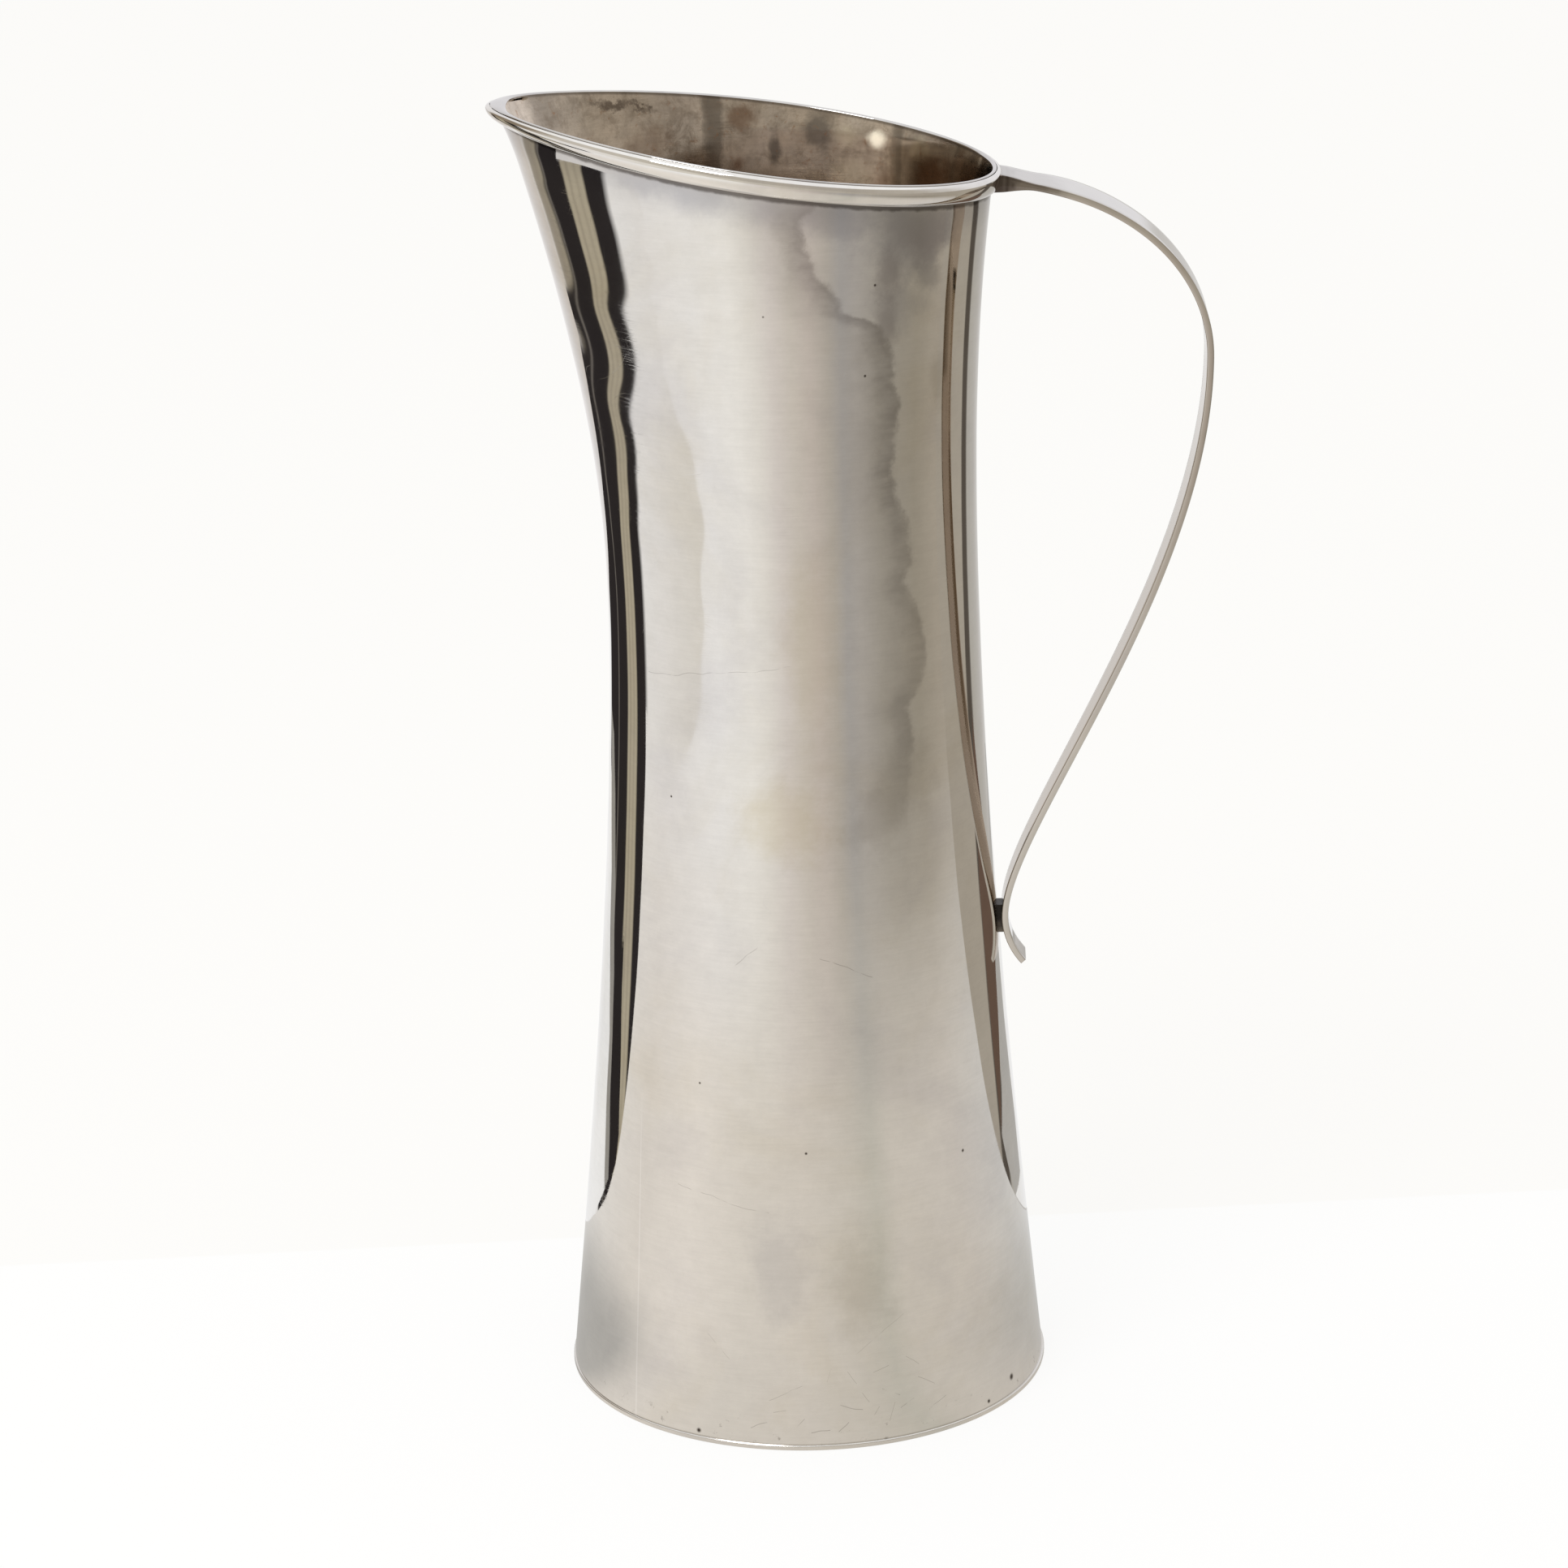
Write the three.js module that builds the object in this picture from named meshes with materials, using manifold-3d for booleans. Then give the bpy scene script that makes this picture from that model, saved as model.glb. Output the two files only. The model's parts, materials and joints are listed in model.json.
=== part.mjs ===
// A tall silver water jug: a waisted body with a flared spout, a base plate soldered under it,
// a half-oval wire round the rim, and a strap handle. The handle springs from the rim wire,
// bends over in a loop and is soldered to the body low down, through a thin pad.
// Millimetres, +Z up. The origin is the centre of the underside. The handle is towards +X
// and the spout towards -X.

import * as THREE from "three";
import { LoftGeometry } from "three/addons/geometries/LoftGeometry.js";
import { mergeVertices } from "three/addons/utils/BufferGeometryUtils.js";
import Module from "manifold-3d";

// Rim, measured from the table to the top of the lip
const SPOUT_RIM_HEIGHT = 300;
const HANDLE_RIM_HEIGHT = 284.4;

// Body, measured on the outside of the sheet
const BASE_RADIUS = 55.7;
const BASE_LEAN_DEG = 5.9;
const WAIST_RADIUS = 41;
const WAIST_HEIGHT = 218.5;
const MOUTH_RADIUS = 45.2;
const MOUTH_LEAN_DEG = 7;
const WALL = 1;

// Spout: the extra reach of the wall on the side away from the handle
const SPOUT_LEAN_DEG = 9.6;
const SPOUT_BEND_HEIGHT = 204.5;
const SPOUT_BEND_SOFTNESS = 27.5;
const SPOUT_PINCH = 0.0195;

// Lip: the last of the wall turns outwards, further at the spout
const LIP_HEIGHT = 7;
const LIP_FLARE = 0.7;
const SPOUT_LIP_HEIGHT = 14;
const SPOUT_LIP_FLARE = 1.5;
const LIP_ROUND = 0.35;

// Base plate
const PLATE_THICKNESS = 1.2;
const PLATE_OVERHANG = 0.35;
const PLATE_EDGE = 0.3;

// Rim wire, a half oval laid flat against the outside of the lip. It is lower round the spout's tip,
// and the higher the taper, the closer to the tip it stays at its full height.
const WIRE_HEIGHT = 4.55;
const SPOUT_WIRE_HEIGHT = 2.7;
const WIRE_TAPER = 7;
const WIRE_THICKNESS = 1.6;

// Handle strap, measured on its centre line in the plane of the spout
const HANDLE_REACH = 92.9;
const HANDLE_BEND_HEIGHT = 242.5;
const HANDLE_ROOT_DROP = 2.8;
const HANDLE_CONTACT_HEIGHT = 110.6;
const UPPER_PULL = 53.4;
const LOWER_PULL = 21;
const TAIL_RADIUS = 17;
const TAIL_TURN_DEG = 42;
const STRAP_THICKNESS = 1.5;
const STRAP_EDGE = 0.25;
const ROOT_THICKNESS = 4.1;
const ROOT_LENGTH = 10;
const ROOT_WIDTH = 12;
const LOOP_WIDTH = 16;
const LOOP_START = 18;
const TAIL_WIDTH = 8.6;

// Pad between the body and the strap, a little lower than where the strap comes closest
const PAD_HEIGHT = 9.2;
const PAD_DROP = 1.9;
const PAD_WIDTH = 4.6;
const PAD_THICKNESS = 0.55;

// Clearances: the film of solder in a flat joint, and the one round the handle's root
const SOLDER_FILM = 0.15;
const ROOT_FILM = 0.3;

// How finely the curved surfaces are divided
const ROUND_STEPS = 64;
const BODY_ROWS = 18;
const BODY_ROW_CROWDING = 1.4;
const WIRE_ROWS = 8;
const STRAP_STEPS = 56;
const PAD_STEPS = 6;

const BODY_FOOT = PLATE_THICKNESS + SOLDER_FILM;

const lean = (degrees) => Math.tan(THREE.MathUtils.degToRad(degrees));

// A cubic between two values whose slopes at both ends are given per millimetre of span.
function cubic(t, span, from, fromSlope, to, toSlope) {
  const start = (1 + 2 * t) * (1 - t) ** 2 * from + t * (1 - t) ** 2 * span * fromSlope;
  const end = t * t * (3 - 2 * t) * to + t * t * (t - 1) * span * toSlope;
  return start + end;
}

// The body's outside radius away from the spout: it leans in to the waist and out to the mouth.
function sideRadius(z) {
  if (z < WAIST_HEIGHT) {
    return cubic(z / WAIST_HEIGHT, WAIST_HEIGHT, BASE_RADIUS, -lean(BASE_LEAN_DEG), WAIST_RADIUS, 0);
  }
  const span = HANDLE_RIM_HEIGHT - WAIST_HEIGHT;
  const t = Math.min((z - WAIST_HEIGHT) / span, 1);
  const above = Math.max(z - HANDLE_RIM_HEIGHT, 0);
  const mouthLean = lean(MOUTH_LEAN_DEG);
  return cubic(t, span, WAIST_RADIUS, 0, MOUTH_RADIUS, mouthLean) + above * mouthLean;
}

// How far the spout stands out past that radius: a straight flare with a soft bend at its foot.
function spoutReach(z) {
  const aboveBend = z - SPOUT_BEND_HEIGHT;
  return lean(SPOUT_LEAN_DEG) * (Math.hypot(aboveBend, SPOUT_BEND_SOFTNESS) + aboveBend) / 2;
}

// How far round towards the spout's tip an angle lies: 0 at the handle and 1 at the tip.
function toSpout(angle) {
  return (1 - Math.cos(angle)) / 2;
}

// The rim is a slanting cut, highest at the spout.
function rimHeight(angle) {
  return HANDLE_RIM_HEIGHT + (SPOUT_RIM_HEIGHT - HANDLE_RIM_HEIGHT) * toSpout(angle);
}

// Grows from 0 at the given depth under the rim to 1 at the rim.
function lipTurn(depth, height) {
  return Math.max(1 - depth / height, 0) ** 2;
}

// A point on the outside of the body, moved outwards by grow. The angle runs from the handle.
function wallPoint(angle, z, grow) {
  const depth = rimHeight(angle) - z;
  const side = sideRadius(z) + LIP_FLARE * lipTurn(depth, LIP_HEIGHT) + grow;
  const reach = spoutReach(z) + SPOUT_LIP_FLARE * lipTurn(depth, SPOUT_LIP_HEIGHT);
  const pinch = 1 - SPOUT_PINCH * reach * toSpout(angle) ** 3;
  const x = side * Math.cos(angle) - reach * toSpout(angle);
  const y = side * Math.sin(angle) * pinch;
  return new THREE.Vector3(x, y, z);
}

// Sweeps a section, a function of the angle, once round the jug.
function sweepRound(section) {
  const sections = [];
  for (let step = 0; step <= ROUND_STEPS; step += 1) {
    sections.push(section((step % ROUND_STEPS) / ROUND_STEPS * 2 * Math.PI));
  }
  return new LoftGeometry(sections);
}

function wireHeight(angle) {
  return WIRE_HEIGHT + (SPOUT_WIRE_HEIGHT - WIRE_HEIGHT) * toSpout(angle) ** WIRE_TAPER;
}

// How far the rim wire, with a film all round it, stands out from the wall at a depth under the
// lip's shoulder.
function wireBulge(angle, depth, film) {
  const height = wireHeight(angle) + 2 * film;
  const share = THREE.MathUtils.clamp(2 * (depth + film) / height - 1, -1, 1);
  return (WIRE_THICKNESS + film) * Math.sqrt(1 - share * share);
}

// The depth of a row of the wire and its film under the lip's shoulder. Rows lie closest at the
// wire's two edges.
function wireDepth(angle, row, film) {
  const height = wireHeight(angle) + 2 * film;
  return height * (1 + Math.cos(Math.PI * row / WIRE_ROWS)) / 2 - film;
}

// The heights of the wall's rows: they crowd together towards the wire, then match the wire's rows.
function wallHeights(angle) {
  const shoulder = rimHeight(angle) - LIP_ROUND;
  const wireFoot = shoulder - wireHeight(angle);
  const heights = [];
  for (let row = 0; row < BODY_ROWS; row += 1) {
    const share = 1 - (1 - row / BODY_ROWS) ** BODY_ROW_CROWDING;
    heights.push(BODY_FOOT + (wireFoot - BODY_FOOT) * share);
  }
  for (let row = 0; row <= WIRE_ROWS; row += 1) {
    heights.push(shoulder - wireDepth(angle, row, 0));
  }
  return heights;
}

// The body's wall in section: up the inside, over the rounded lip and down the outside.
function bodySection(angle) {
  const heights = wallHeights(angle);
  const inside = heights.map((z) => wallPoint(angle, z, -WALL));
  const outside = heights.map((z) => wallPoint(angle, z, 0)).reverse();
  return [...inside, wallPoint(angle, rimHeight(angle), -WALL / 2), ...outside];
}

// The rim wire in section: up the flat side on the wall, then down the round side.
function wireSection(angle) {
  const flat = [];
  const round = [];
  for (let row = 0; row <= WIRE_ROWS; row += 1) {
    const depth = wireDepth(angle, row, 0);
    const z = rimHeight(angle) - LIP_ROUND - depth;
    flat.push(wallPoint(angle, z, SOLDER_FILM));
    if (row > 0 && row < WIRE_ROWS) {
      round.unshift(wallPoint(angle, z, SOLDER_FILM + wireBulge(angle, depth, 0)));
    }
  }
  return [...flat, ...round];
}

// The space that the handle's root leaves free: the wall and its wire, with the root's film outside.
// It runs one wire height further than the wire, both down and up.
function rootSeatSection(angle) {
  const high = wireHeight(angle);
  const wireRows = Array.from({ length: WIRE_ROWS + 1 }, (_, row) => wireDepth(angle, row, ROOT_FILM));
  const inside = [];
  const outside = [];
  for (const depth of [2 * high, ...wireRows, -high]) {
    const z = rimHeight(angle) - LIP_ROUND - depth;
    inside.push(wallPoint(angle, z, -WALL));
    const bulge = Math.max(wireBulge(angle, depth, ROOT_FILM), ROOT_FILM);
    outside.unshift(wallPoint(angle, z, SOLDER_FILM + bulge));
  }
  return [...inside, ...outside];
}

// The handle's centre line, x outwards and y upwards: over the loop, down to the body and out
// again to the tail.
function handlePath() {
  const rootHeight = HANDLE_RIM_HEIGHT - HANDLE_ROOT_DROP;
  const rootX = sideRadius(rootHeight);
  const rise = rootHeight - HANDLE_BEND_HEIGHT;
  const contactGap = PAD_THICKNESS + 2 * SOLDER_FILM;
  const contactX = sideRadius(HANDLE_CONTACT_HEIGHT) + contactGap + STRAP_THICKNESS / 2;
  const bend = new THREE.Vector2(HANDLE_REACH, HANDLE_BEND_HEIGHT);
  const contact = new THREE.Vector2(contactX, HANDLE_CONTACT_HEIGHT);
  const bendPull = bend.clone().setY(bend.y - UPPER_PULL);
  const contactPull = contact.clone().setY(contact.y + LOWER_PULL);
  const tailX = contactX + TAIL_RADIUS;
  const tailEnd = Math.PI + THREE.MathUtils.degToRad(TAIL_TURN_DEG);
  const path = new THREE.CurvePath();
  path.add(new THREE.EllipseCurve(rootX, bend.y, bend.x - rootX, rise, Math.PI / 2, 0, true));
  path.add(new THREE.CubicBezierCurve(bend, bendPull, contactPull, contact));
  path.add(new THREE.ArcCurve(tailX, contact.y, TAIL_RADIUS, Math.PI, tailEnd, false));
  return path;
}

const HANDLE_PATH = handlePath();
const HANDLE_LENGTH = HANDLE_PATH.getLength();

// The centre of the strap at a distance along it, with the direction that faces away from the body.
function strapFrame(distance) {
  const share = distance / HANDLE_LENGTH;
  const centre = HANDLE_PATH.getPointAt(share);
  const along = HANDLE_PATH.getTangentAt(share);
  return { centre, outwards: new THREE.Vector2(-along.y, along.x) };
}

function strapThickness(distance) {
  const rooted = 1 - THREE.MathUtils.smoothstep(distance, 0, ROOT_LENGTH);
  return STRAP_THICKNESS + (ROOT_THICKNESS - STRAP_THICKNESS) * rooted;
}

// The strap spreads from its root into the loop, then tapers evenly to its tail.
function strapWidth(distance) {
  const spread = THREE.MathUtils.smoothstep(distance, 0, LOOP_START);
  const pastLoop = (distance - LOOP_START) / (HANDLE_LENGTH - LOOP_START);
  const taper = THREE.MathUtils.clamp(pastLoop, 0, 1);
  return ROOT_WIDTH + (LOOP_WIDTH - ROOT_WIDTH) * spread + (TAIL_WIDTH - LOOP_WIDTH) * taper;
}

// The strap in section: a rectangle with its four edges broken.
function strapSection(distance) {
  const { centre, outwards } = strapFrame(distance);
  const halfWidth = strapWidth(distance) / 2;
  const halfThickness = strapThickness(distance) / 2;
  const corners = [
    [halfWidth - STRAP_EDGE, -halfThickness],
    [halfWidth, STRAP_EDGE - halfThickness],
    [halfWidth, halfThickness - STRAP_EDGE],
    [halfWidth - STRAP_EDGE, halfThickness],
    [STRAP_EDGE - halfWidth, halfThickness],
    [-halfWidth, halfThickness - STRAP_EDGE],
    [-halfWidth, STRAP_EDGE - halfThickness],
    [STRAP_EDGE - halfWidth, -halfThickness],
  ];
  return corners.map(([across, out]) => {
    return new THREE.Vector3(centre.x + outwards.x * out, across, centre.y + outwards.y * out);
  });
}

// The pad in level section: one side follows the strap, the other the round of the body.
function padSection(distance) {
  const { centre, outwards } = strapFrame(distance);
  const out = -(STRAP_THICKNESS / 2 + SOLDER_FILM);
  const x = centre.x + outwards.x * out;
  const z = centre.y + outwards.y * out;
  const onBody = [];
  for (let step = 0; step <= PAD_STEPS; step += 1) {
    const across = PAD_WIDTH * (0.5 - step / PAD_STEPS);
    onBody.push(wallPoint(Math.asin(across / sideRadius(z)), z, SOLDER_FILM));
  }
  const onStrap = onBody.map((point) => new THREE.Vector3(x, point.y, z)).reverse();
  return [...onStrap, ...onBody];
}

const wasm = await Module();
wasm.setup();

function toSolid(geometry) {
  const bare = new THREE.BufferGeometry();
  bare.setAttribute("position", geometry.getAttribute("position"));
  bare.setIndex(geometry.getIndex());
  const merged = mergeVertices(bare);
  const vertProperties = new Float32Array(merged.attributes.position.array);
  const triVerts = new Uint32Array(merged.index.array);
  return new wasm.Manifold(new wasm.Mesh({ numProp: 3, vertProperties, triVerts }));
}

function toGeometry(solid) {
  const mesh = solid.getMesh();
  const geometry = new THREE.BufferGeometry();
  geometry.setAttribute("position", new THREE.BufferAttribute(mesh.vertProperties, 3));
  geometry.setIndex(new THREE.BufferAttribute(mesh.triVerts, 1));
  geometry.computeVertexNormals();
  return geometry;
}

function basePlate() {
  const radius = BASE_RADIUS + PLATE_OVERHANG;
  const outline = [
    new THREE.Vector2(0, 0),
    new THREE.Vector2(radius - PLATE_EDGE, 0),
    new THREE.Vector2(radius, PLATE_EDGE),
    new THREE.Vector2(radius, PLATE_THICKNESS - PLATE_EDGE),
    new THREE.Vector2(radius - PLATE_EDGE, PLATE_THICKNESS),
    new THREE.Vector2(0, PLATE_THICKNESS),
  ];
  return new THREE.LatheGeometry(outline, ROUND_STEPS).rotateX(Math.PI / 2);
}

// The strap starts inside the wall, and its root is cut to hug the rim wire.
function handleStrap() {
  const sections = [];
  for (let step = 0; step <= STRAP_STEPS; step += 1) {
    sections.push(strapSection(HANDLE_LENGTH * (step / STRAP_STEPS)));
  }
  const whole = toSolid(new LoftGeometry(sections, { capStart: true, capEnd: true }));
  return toGeometry(whole.subtract(toSolid(sweepRound(rootSeatSection))));
}

function handlePad() {
  const middle = HANDLE_PATH.getCurveLengths()[1] + PAD_DROP;
  const sections = [];
  for (let step = 0; step <= PAD_STEPS; step += 1) {
    sections.push(padSection(middle + PAD_HEIGHT * (0.5 - step / PAD_STEPS)));
  }
  return new LoftGeometry(sections, { capStart: true, capEnd: true });
}

function silver(color, roughness) {
  return new THREE.MeshStandardMaterial({ color, roughness, metalness: 1 });
}

function piece(name, geometry, material) {
  const mesh = new THREE.Mesh(geometry, material);
  mesh.name = name;
  return mesh;
}

const jug = new THREE.Group();
jug.add(piece("body_shell", sweepRound(bodySection), silver(0xcfcac4, 0.22)));
jug.add(piece("base_plate", basePlate(), silver(0xc4bfb8, 0.3)));
jug.add(piece("rim_wire", sweepRound(wireSection), silver(0xdcd8d0, 0.15)));
jug.add(piece("handle_strap", handleStrap(), silver(0xd2cdc6, 0.2)));
jug.add(piece("handle_pad", handlePad(), silver(0x6b6259, 0.45)));

export default jug;
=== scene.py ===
"""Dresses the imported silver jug: fine meshes, worn silver finishes, a pale studio and the camera."""
import json
import math

import bmesh
import bpy
import numpy as np
from bpy.props import FloatProperty, FloatVectorProperty, IntProperty, PointerProperty
from mathutils import Matrix, Vector, noise


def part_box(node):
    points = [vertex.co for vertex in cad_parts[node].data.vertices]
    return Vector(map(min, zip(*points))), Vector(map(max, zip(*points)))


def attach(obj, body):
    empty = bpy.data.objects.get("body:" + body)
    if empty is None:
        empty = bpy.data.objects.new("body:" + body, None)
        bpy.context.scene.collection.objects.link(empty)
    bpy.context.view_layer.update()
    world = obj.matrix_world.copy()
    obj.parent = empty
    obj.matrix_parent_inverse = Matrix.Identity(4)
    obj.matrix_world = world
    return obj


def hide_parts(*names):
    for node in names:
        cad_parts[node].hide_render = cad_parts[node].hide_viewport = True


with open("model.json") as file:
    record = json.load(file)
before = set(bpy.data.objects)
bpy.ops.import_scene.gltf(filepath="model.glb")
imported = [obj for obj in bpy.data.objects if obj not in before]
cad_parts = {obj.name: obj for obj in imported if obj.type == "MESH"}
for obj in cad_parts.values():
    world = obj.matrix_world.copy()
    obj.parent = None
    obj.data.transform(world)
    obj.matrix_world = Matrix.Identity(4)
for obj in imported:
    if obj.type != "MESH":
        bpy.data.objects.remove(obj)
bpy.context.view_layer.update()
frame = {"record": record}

bl_info = {
    "name": "Silver Jug",
    "version": (1, 0, 0),
    "blender": (4, 5, 0),
    "location": "3D View > Sidebar > Silver Jug",
    "description": "Builds a hand-made silver jug with worn finishes on a pale table",
    "category": "Add Mesh",
}

MM = 0.001
SLOT_COLOUR = {row["slot"]: row["base_color"] for row in frame["record"]["materials"]}


def length(name, description, millimetres):
    """A size in the sidebar, given here in millimetres."""
    return FloatProperty(name=name, description=description, default=millimetres * MM,
                         unit="LENGTH", precision=5)


def angle(name, description, degrees):
    """An angle in the sidebar, given here in degrees."""
    return FloatProperty(name=name, description=description, default=math.radians(degrees),
                         unit="ROTATION", subtype="ANGLE")


def factor(name, description, default):
    """A plain number from 0 to 1 in the sidebar."""
    return FloatProperty(name=name, description=description, default=default,
                         min=0.0, max=1.0, subtype="FACTOR")


def colour(name, description, default):
    """A colour in the sidebar."""
    return FloatVectorProperty(name=name, description=description, default=default,
                               size=3, min=0.0, max=1.0, subtype="COLOR")


class JugSizes(bpy.types.PropertyGroup):
    """The sizes of the jug, the same as in its solids."""

    spout_rim_height: FloatProperty(
        name="Spout rim height", description="Height of the rim at the spout, the top of the jug",
        default=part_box("body_shell")[1].z, unit="LENGTH", precision=5)
    handle_rim_height: length("Handle rim height", "Height of the rim at the handle", 284.4)
    base_radius: length("Base radius", "Outside radius of the body at the table", 55.7)
    base_lean: angle("Base lean", "How far the wall leans in at the foot", 5.9)
    waist_radius: length("Waist radius", "Outside radius at the narrowest place", 41.0)
    waist_height: length("Waist height", "Height of the narrowest place", 218.5)
    mouth_radius: length("Mouth radius", "Outside radius at the handle's rim", 45.2)
    mouth_lean: angle("Mouth lean", "How far the wall leans out at the mouth", 7.0)
    wall: length("Wall", "Thickness of the silver sheet", 1.0)
    spout_lean: angle("Spout lean", "How far the spout leans out past the wall", 9.6)
    spout_bend_height: length("Spout bend height", "Height where the spout starts to lean", 204.5)
    spout_bend_softness: length("Spout bend softness", "How gently the spout starts", 27.5)
    spout_pinch: FloatProperty(
        name="Spout pinch", description="How much the spout narrows for each metre that it reaches",
        default=19.5)
    lip_height: length("Lip height", "Height of the turned lip", 7.0)
    lip_flare: length("Lip flare", "How far the lip turns out", 0.7)
    spout_lip_height: length("Spout lip height", "Height of the turned lip at the spout", 14.0)
    spout_lip_flare: length("Spout lip flare", "How far the spout's lip turns out", 1.5)
    lip_round: length("Lip round", "Height of the rounded top edge", 0.35)
    plate_thickness: length("Plate thickness", "Thickness of the base plate", 1.2)
    plate_overhang: length("Plate overhang", "How far the base plate stands out past the body", 0.35)
    plate_edge: length("Plate edge", "Rounding of the base plate's edge", 0.3)
    spout_ledge: length("Spout ledge", "How far the flat lip reaches in at the spout's tip", 2.6)
    wire_height: length("Wire height", "Height of the half-oval rim wire", 4.55)
    spout_wire_height: length("Spout wire height", "Height of the rim wire at the spout's tip", 2.7)
    wire_taper: FloatProperty(
        name="Wire taper", description="How close to the tip the wire stays tall", default=7.0)
    wire_thickness: length("Wire thickness", "How far the rim wire stands out", 1.58)
    handle_reach: length("Handle reach", "How far the handle's loop reaches from the axis", 92.86)
    handle_bend_height: length("Handle bend height", "Height of the loop's outermost place", 242.5)
    handle_root_drop: length("Handle root drop", "Depth of the handle's root under the rim", 2.8)
    handle_contact_height: length("Handle contact height", "Height of the lower joint", 110.6)
    upper_pull: length("Upper pull", "Fullness of the handle under the loop", 53.4)
    lower_pull: length("Lower pull", "Fullness of the handle over the lower joint", 21.0)
    tail_radius: length("Tail radius", "Radius of the curled tail", 17.0)
    tail_turn: angle("Tail turn", "How far round the tail curls", 42.0)
    strap_thickness: length("Strap thickness", "Thickness of the handle's strap", 1.5)
    strap_edge: length("Strap edge", "Rounding of the strap's edges", 0.25)
    root_thickness: length("Root thickness", "Thickness of the handle's root", 4.1)
    root_length: length("Root length", "Length over which the root thins to the strap", 10.0)
    root_width: length("Root width", "Width of the handle's root", 12.0)
    loop_width: length("Loop width", "Width of the strap in the loop", 16.0)
    loop_start: length("Loop start", "Distance at which the strap has spread to its full width", 18.0)
    tail_width: length("Tail width", "Width of the strap at its tail", 8.6)
    pad_height: length("Pad height", "Height of the pad at the lower joint", 9.2)
    pad_drop: length("Pad drop", "How far the pad's middle lies under the lower joint", 1.9)
    pad_width: length("Pad width", "Width of the pad at the lower joint", 4.6)
    pad_thickness: length("Pad thickness", "Thickness of the pad at the lower joint", 0.55)
    solder_film: length("Solder film", "Thickness of the solder between two pieces", 0.15)
    calm_wave: length("Calm wave", "Height of the hammered waves all over the body", 0.06)
    spout_wave: length("Spout wave", "Extra height of the waves round the spout", 0.26)
    flute: length("Flute", "Height of the faint upright flutes", 0.012)
    wave_length: length("Wave length", "Distance from wave to wave", 26.0)
    round_steps: IntProperty(name="Round steps", description="Steps of the mesh round the jug",
                             default=192, min=32)


class JugFinish(bpy.types.PropertyGroup):
    """The colours of the silver and what age has left on it."""

    body_silver: colour("Body silver", "Clean silver of the body", SLOT_COLOUR["body_silver"])
    base_silver: colour("Base silver", "Clean silver of the base plate", SLOT_COLOUR["base_silver"])
    rim_silver: colour("Rim silver", "Clean silver of the rim wire", SLOT_COLOUR["rim_silver"])
    handle_silver: colour("Handle silver", "Clean silver of the handle", SLOT_COLOUR["handle_silver"])
    pad_silver: colour("Pad silver", "Tarnished silver of the pad", SLOT_COLOUR["pad_silver"])
    inside_silver: colour("Inside silver", "Tarnished silver inside the body", (0.70, 0.61, 0.515))
    warm_film: colour("Warm film", "Thin yellowish tarnish", (0.70, 0.65, 0.55))
    cool_film: colour("Cool film", "Thin lilac-grey tarnish", (0.63, 0.61, 0.62))
    rust: colour("Rusty stain", "Rusty stains inside the body", (0.36, 0.20, 0.11))
    black_tarnish: colour("Black tarnish", "Dark tarnish in pits and along solder", (0.07, 0.055, 0.045))
    polish: factor("Polish", "Roughness of the clean silver", 0.03)


class JugStudio(bpy.types.PropertyGroup):
    """The camera, and the pale table with the cards that the silver mirrors."""

    camera_turn: angle("Camera turn", "How far the camera stands round towards the handle", 2.0)
    camera_pitch: angle("Camera pitch", "How far the camera looks down", 18.093)
    camera_roll: angle("Camera roll", "Tilt of the camera", -1.035)
    camera_distance: length("Camera distance", "Distance of the camera from its aim", 1103.669)
    aim_right: length("Aim right", "How far the aim lies to the right of the axis", -3.561)
    aim_height: length("Aim height", "Height of the aim over the table", 141.635)
    lens: FloatProperty(name="Lens", description="Focal length in millimetres on a 36 mm frame",
                        default=110.288)
    backdrop: colour("Backdrop", "What the camera sees behind the table", (0.973, 0.965, 0.947))
    table: colour("Table", "Colour of the table", (0.985, 0.983, 0.977))
    shadow: factor("Shadow", "How much of the table's shade the camera sees", 0.14)
    black_band: colour("Black band", "Dark part of the room on the left", (0.028, 0.024, 0.024))
    tan_band: colour("Tan band", "Tan part of the room on the left", (0.46, 0.41, 0.31))
    brown_band: colour("Brown band", "Brown part of the room on the right", (0.10, 0.085, 0.07))
    white_card: colour("White card", "White card behind the jug", (0.97, 0.97, 0.97))
    grey_card: colour("Grey card", "Grey edge of the white card", (0.34, 0.325, 0.30))
    dim_card: colour("Dim card", "Dim right edge of the white card", (0.50, 0.485, 0.46))
    brown_card: colour("Brown card", "Brown card behind the jug on the right", (0.145, 0.095, 0.07))
    ceiling: colour("Ceiling", "White over the jug", (1.0, 1.0, 1.0))


# What lies round the jug at the height of the table, as points in millimetres. It shows only in the silver.
TABLE_TOP = [
    (-640, -1050), (-640, 120), (-400, 86), (-203, 64), (-160, 66), (-110, 76), (-67, 78), (61, 84),
    (192, 93), (380, 110), (1000, 150), (1000, -1050),
]
WHITE_CARD = [
    (-160, 74), (-230, 180), (-250, 330), (-235, 430), (-200, 480), (150, 480), (225, 280), (209, 233),
    (143, 128), (120, 88),
]
GREY_CARD = [
    (-172, 72), (-225, 130), (-270, 200), (-300, 290), (-315, 380), (-300, 450), (-240, 500), (-235, 420),
    (-250, 330), (-245, 260), (-226, 180), (-156, 75),
]
BLACK_CARD = [
    (-172, 66), (-172, 70), (-197, 100), (-220, 133), (-244, 166), (-267, 202), (-292, 238), (-362, 184),
    (-324, 159), (-293, 128), (-261, 98), (-229, 72), (-200, 63),
]
BROWN_CARD = [
    (181, 110), (262, 182), (350, 264), (430, 420), (200, 335), (206, 245), (200, 214), (194, 141),
]
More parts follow.
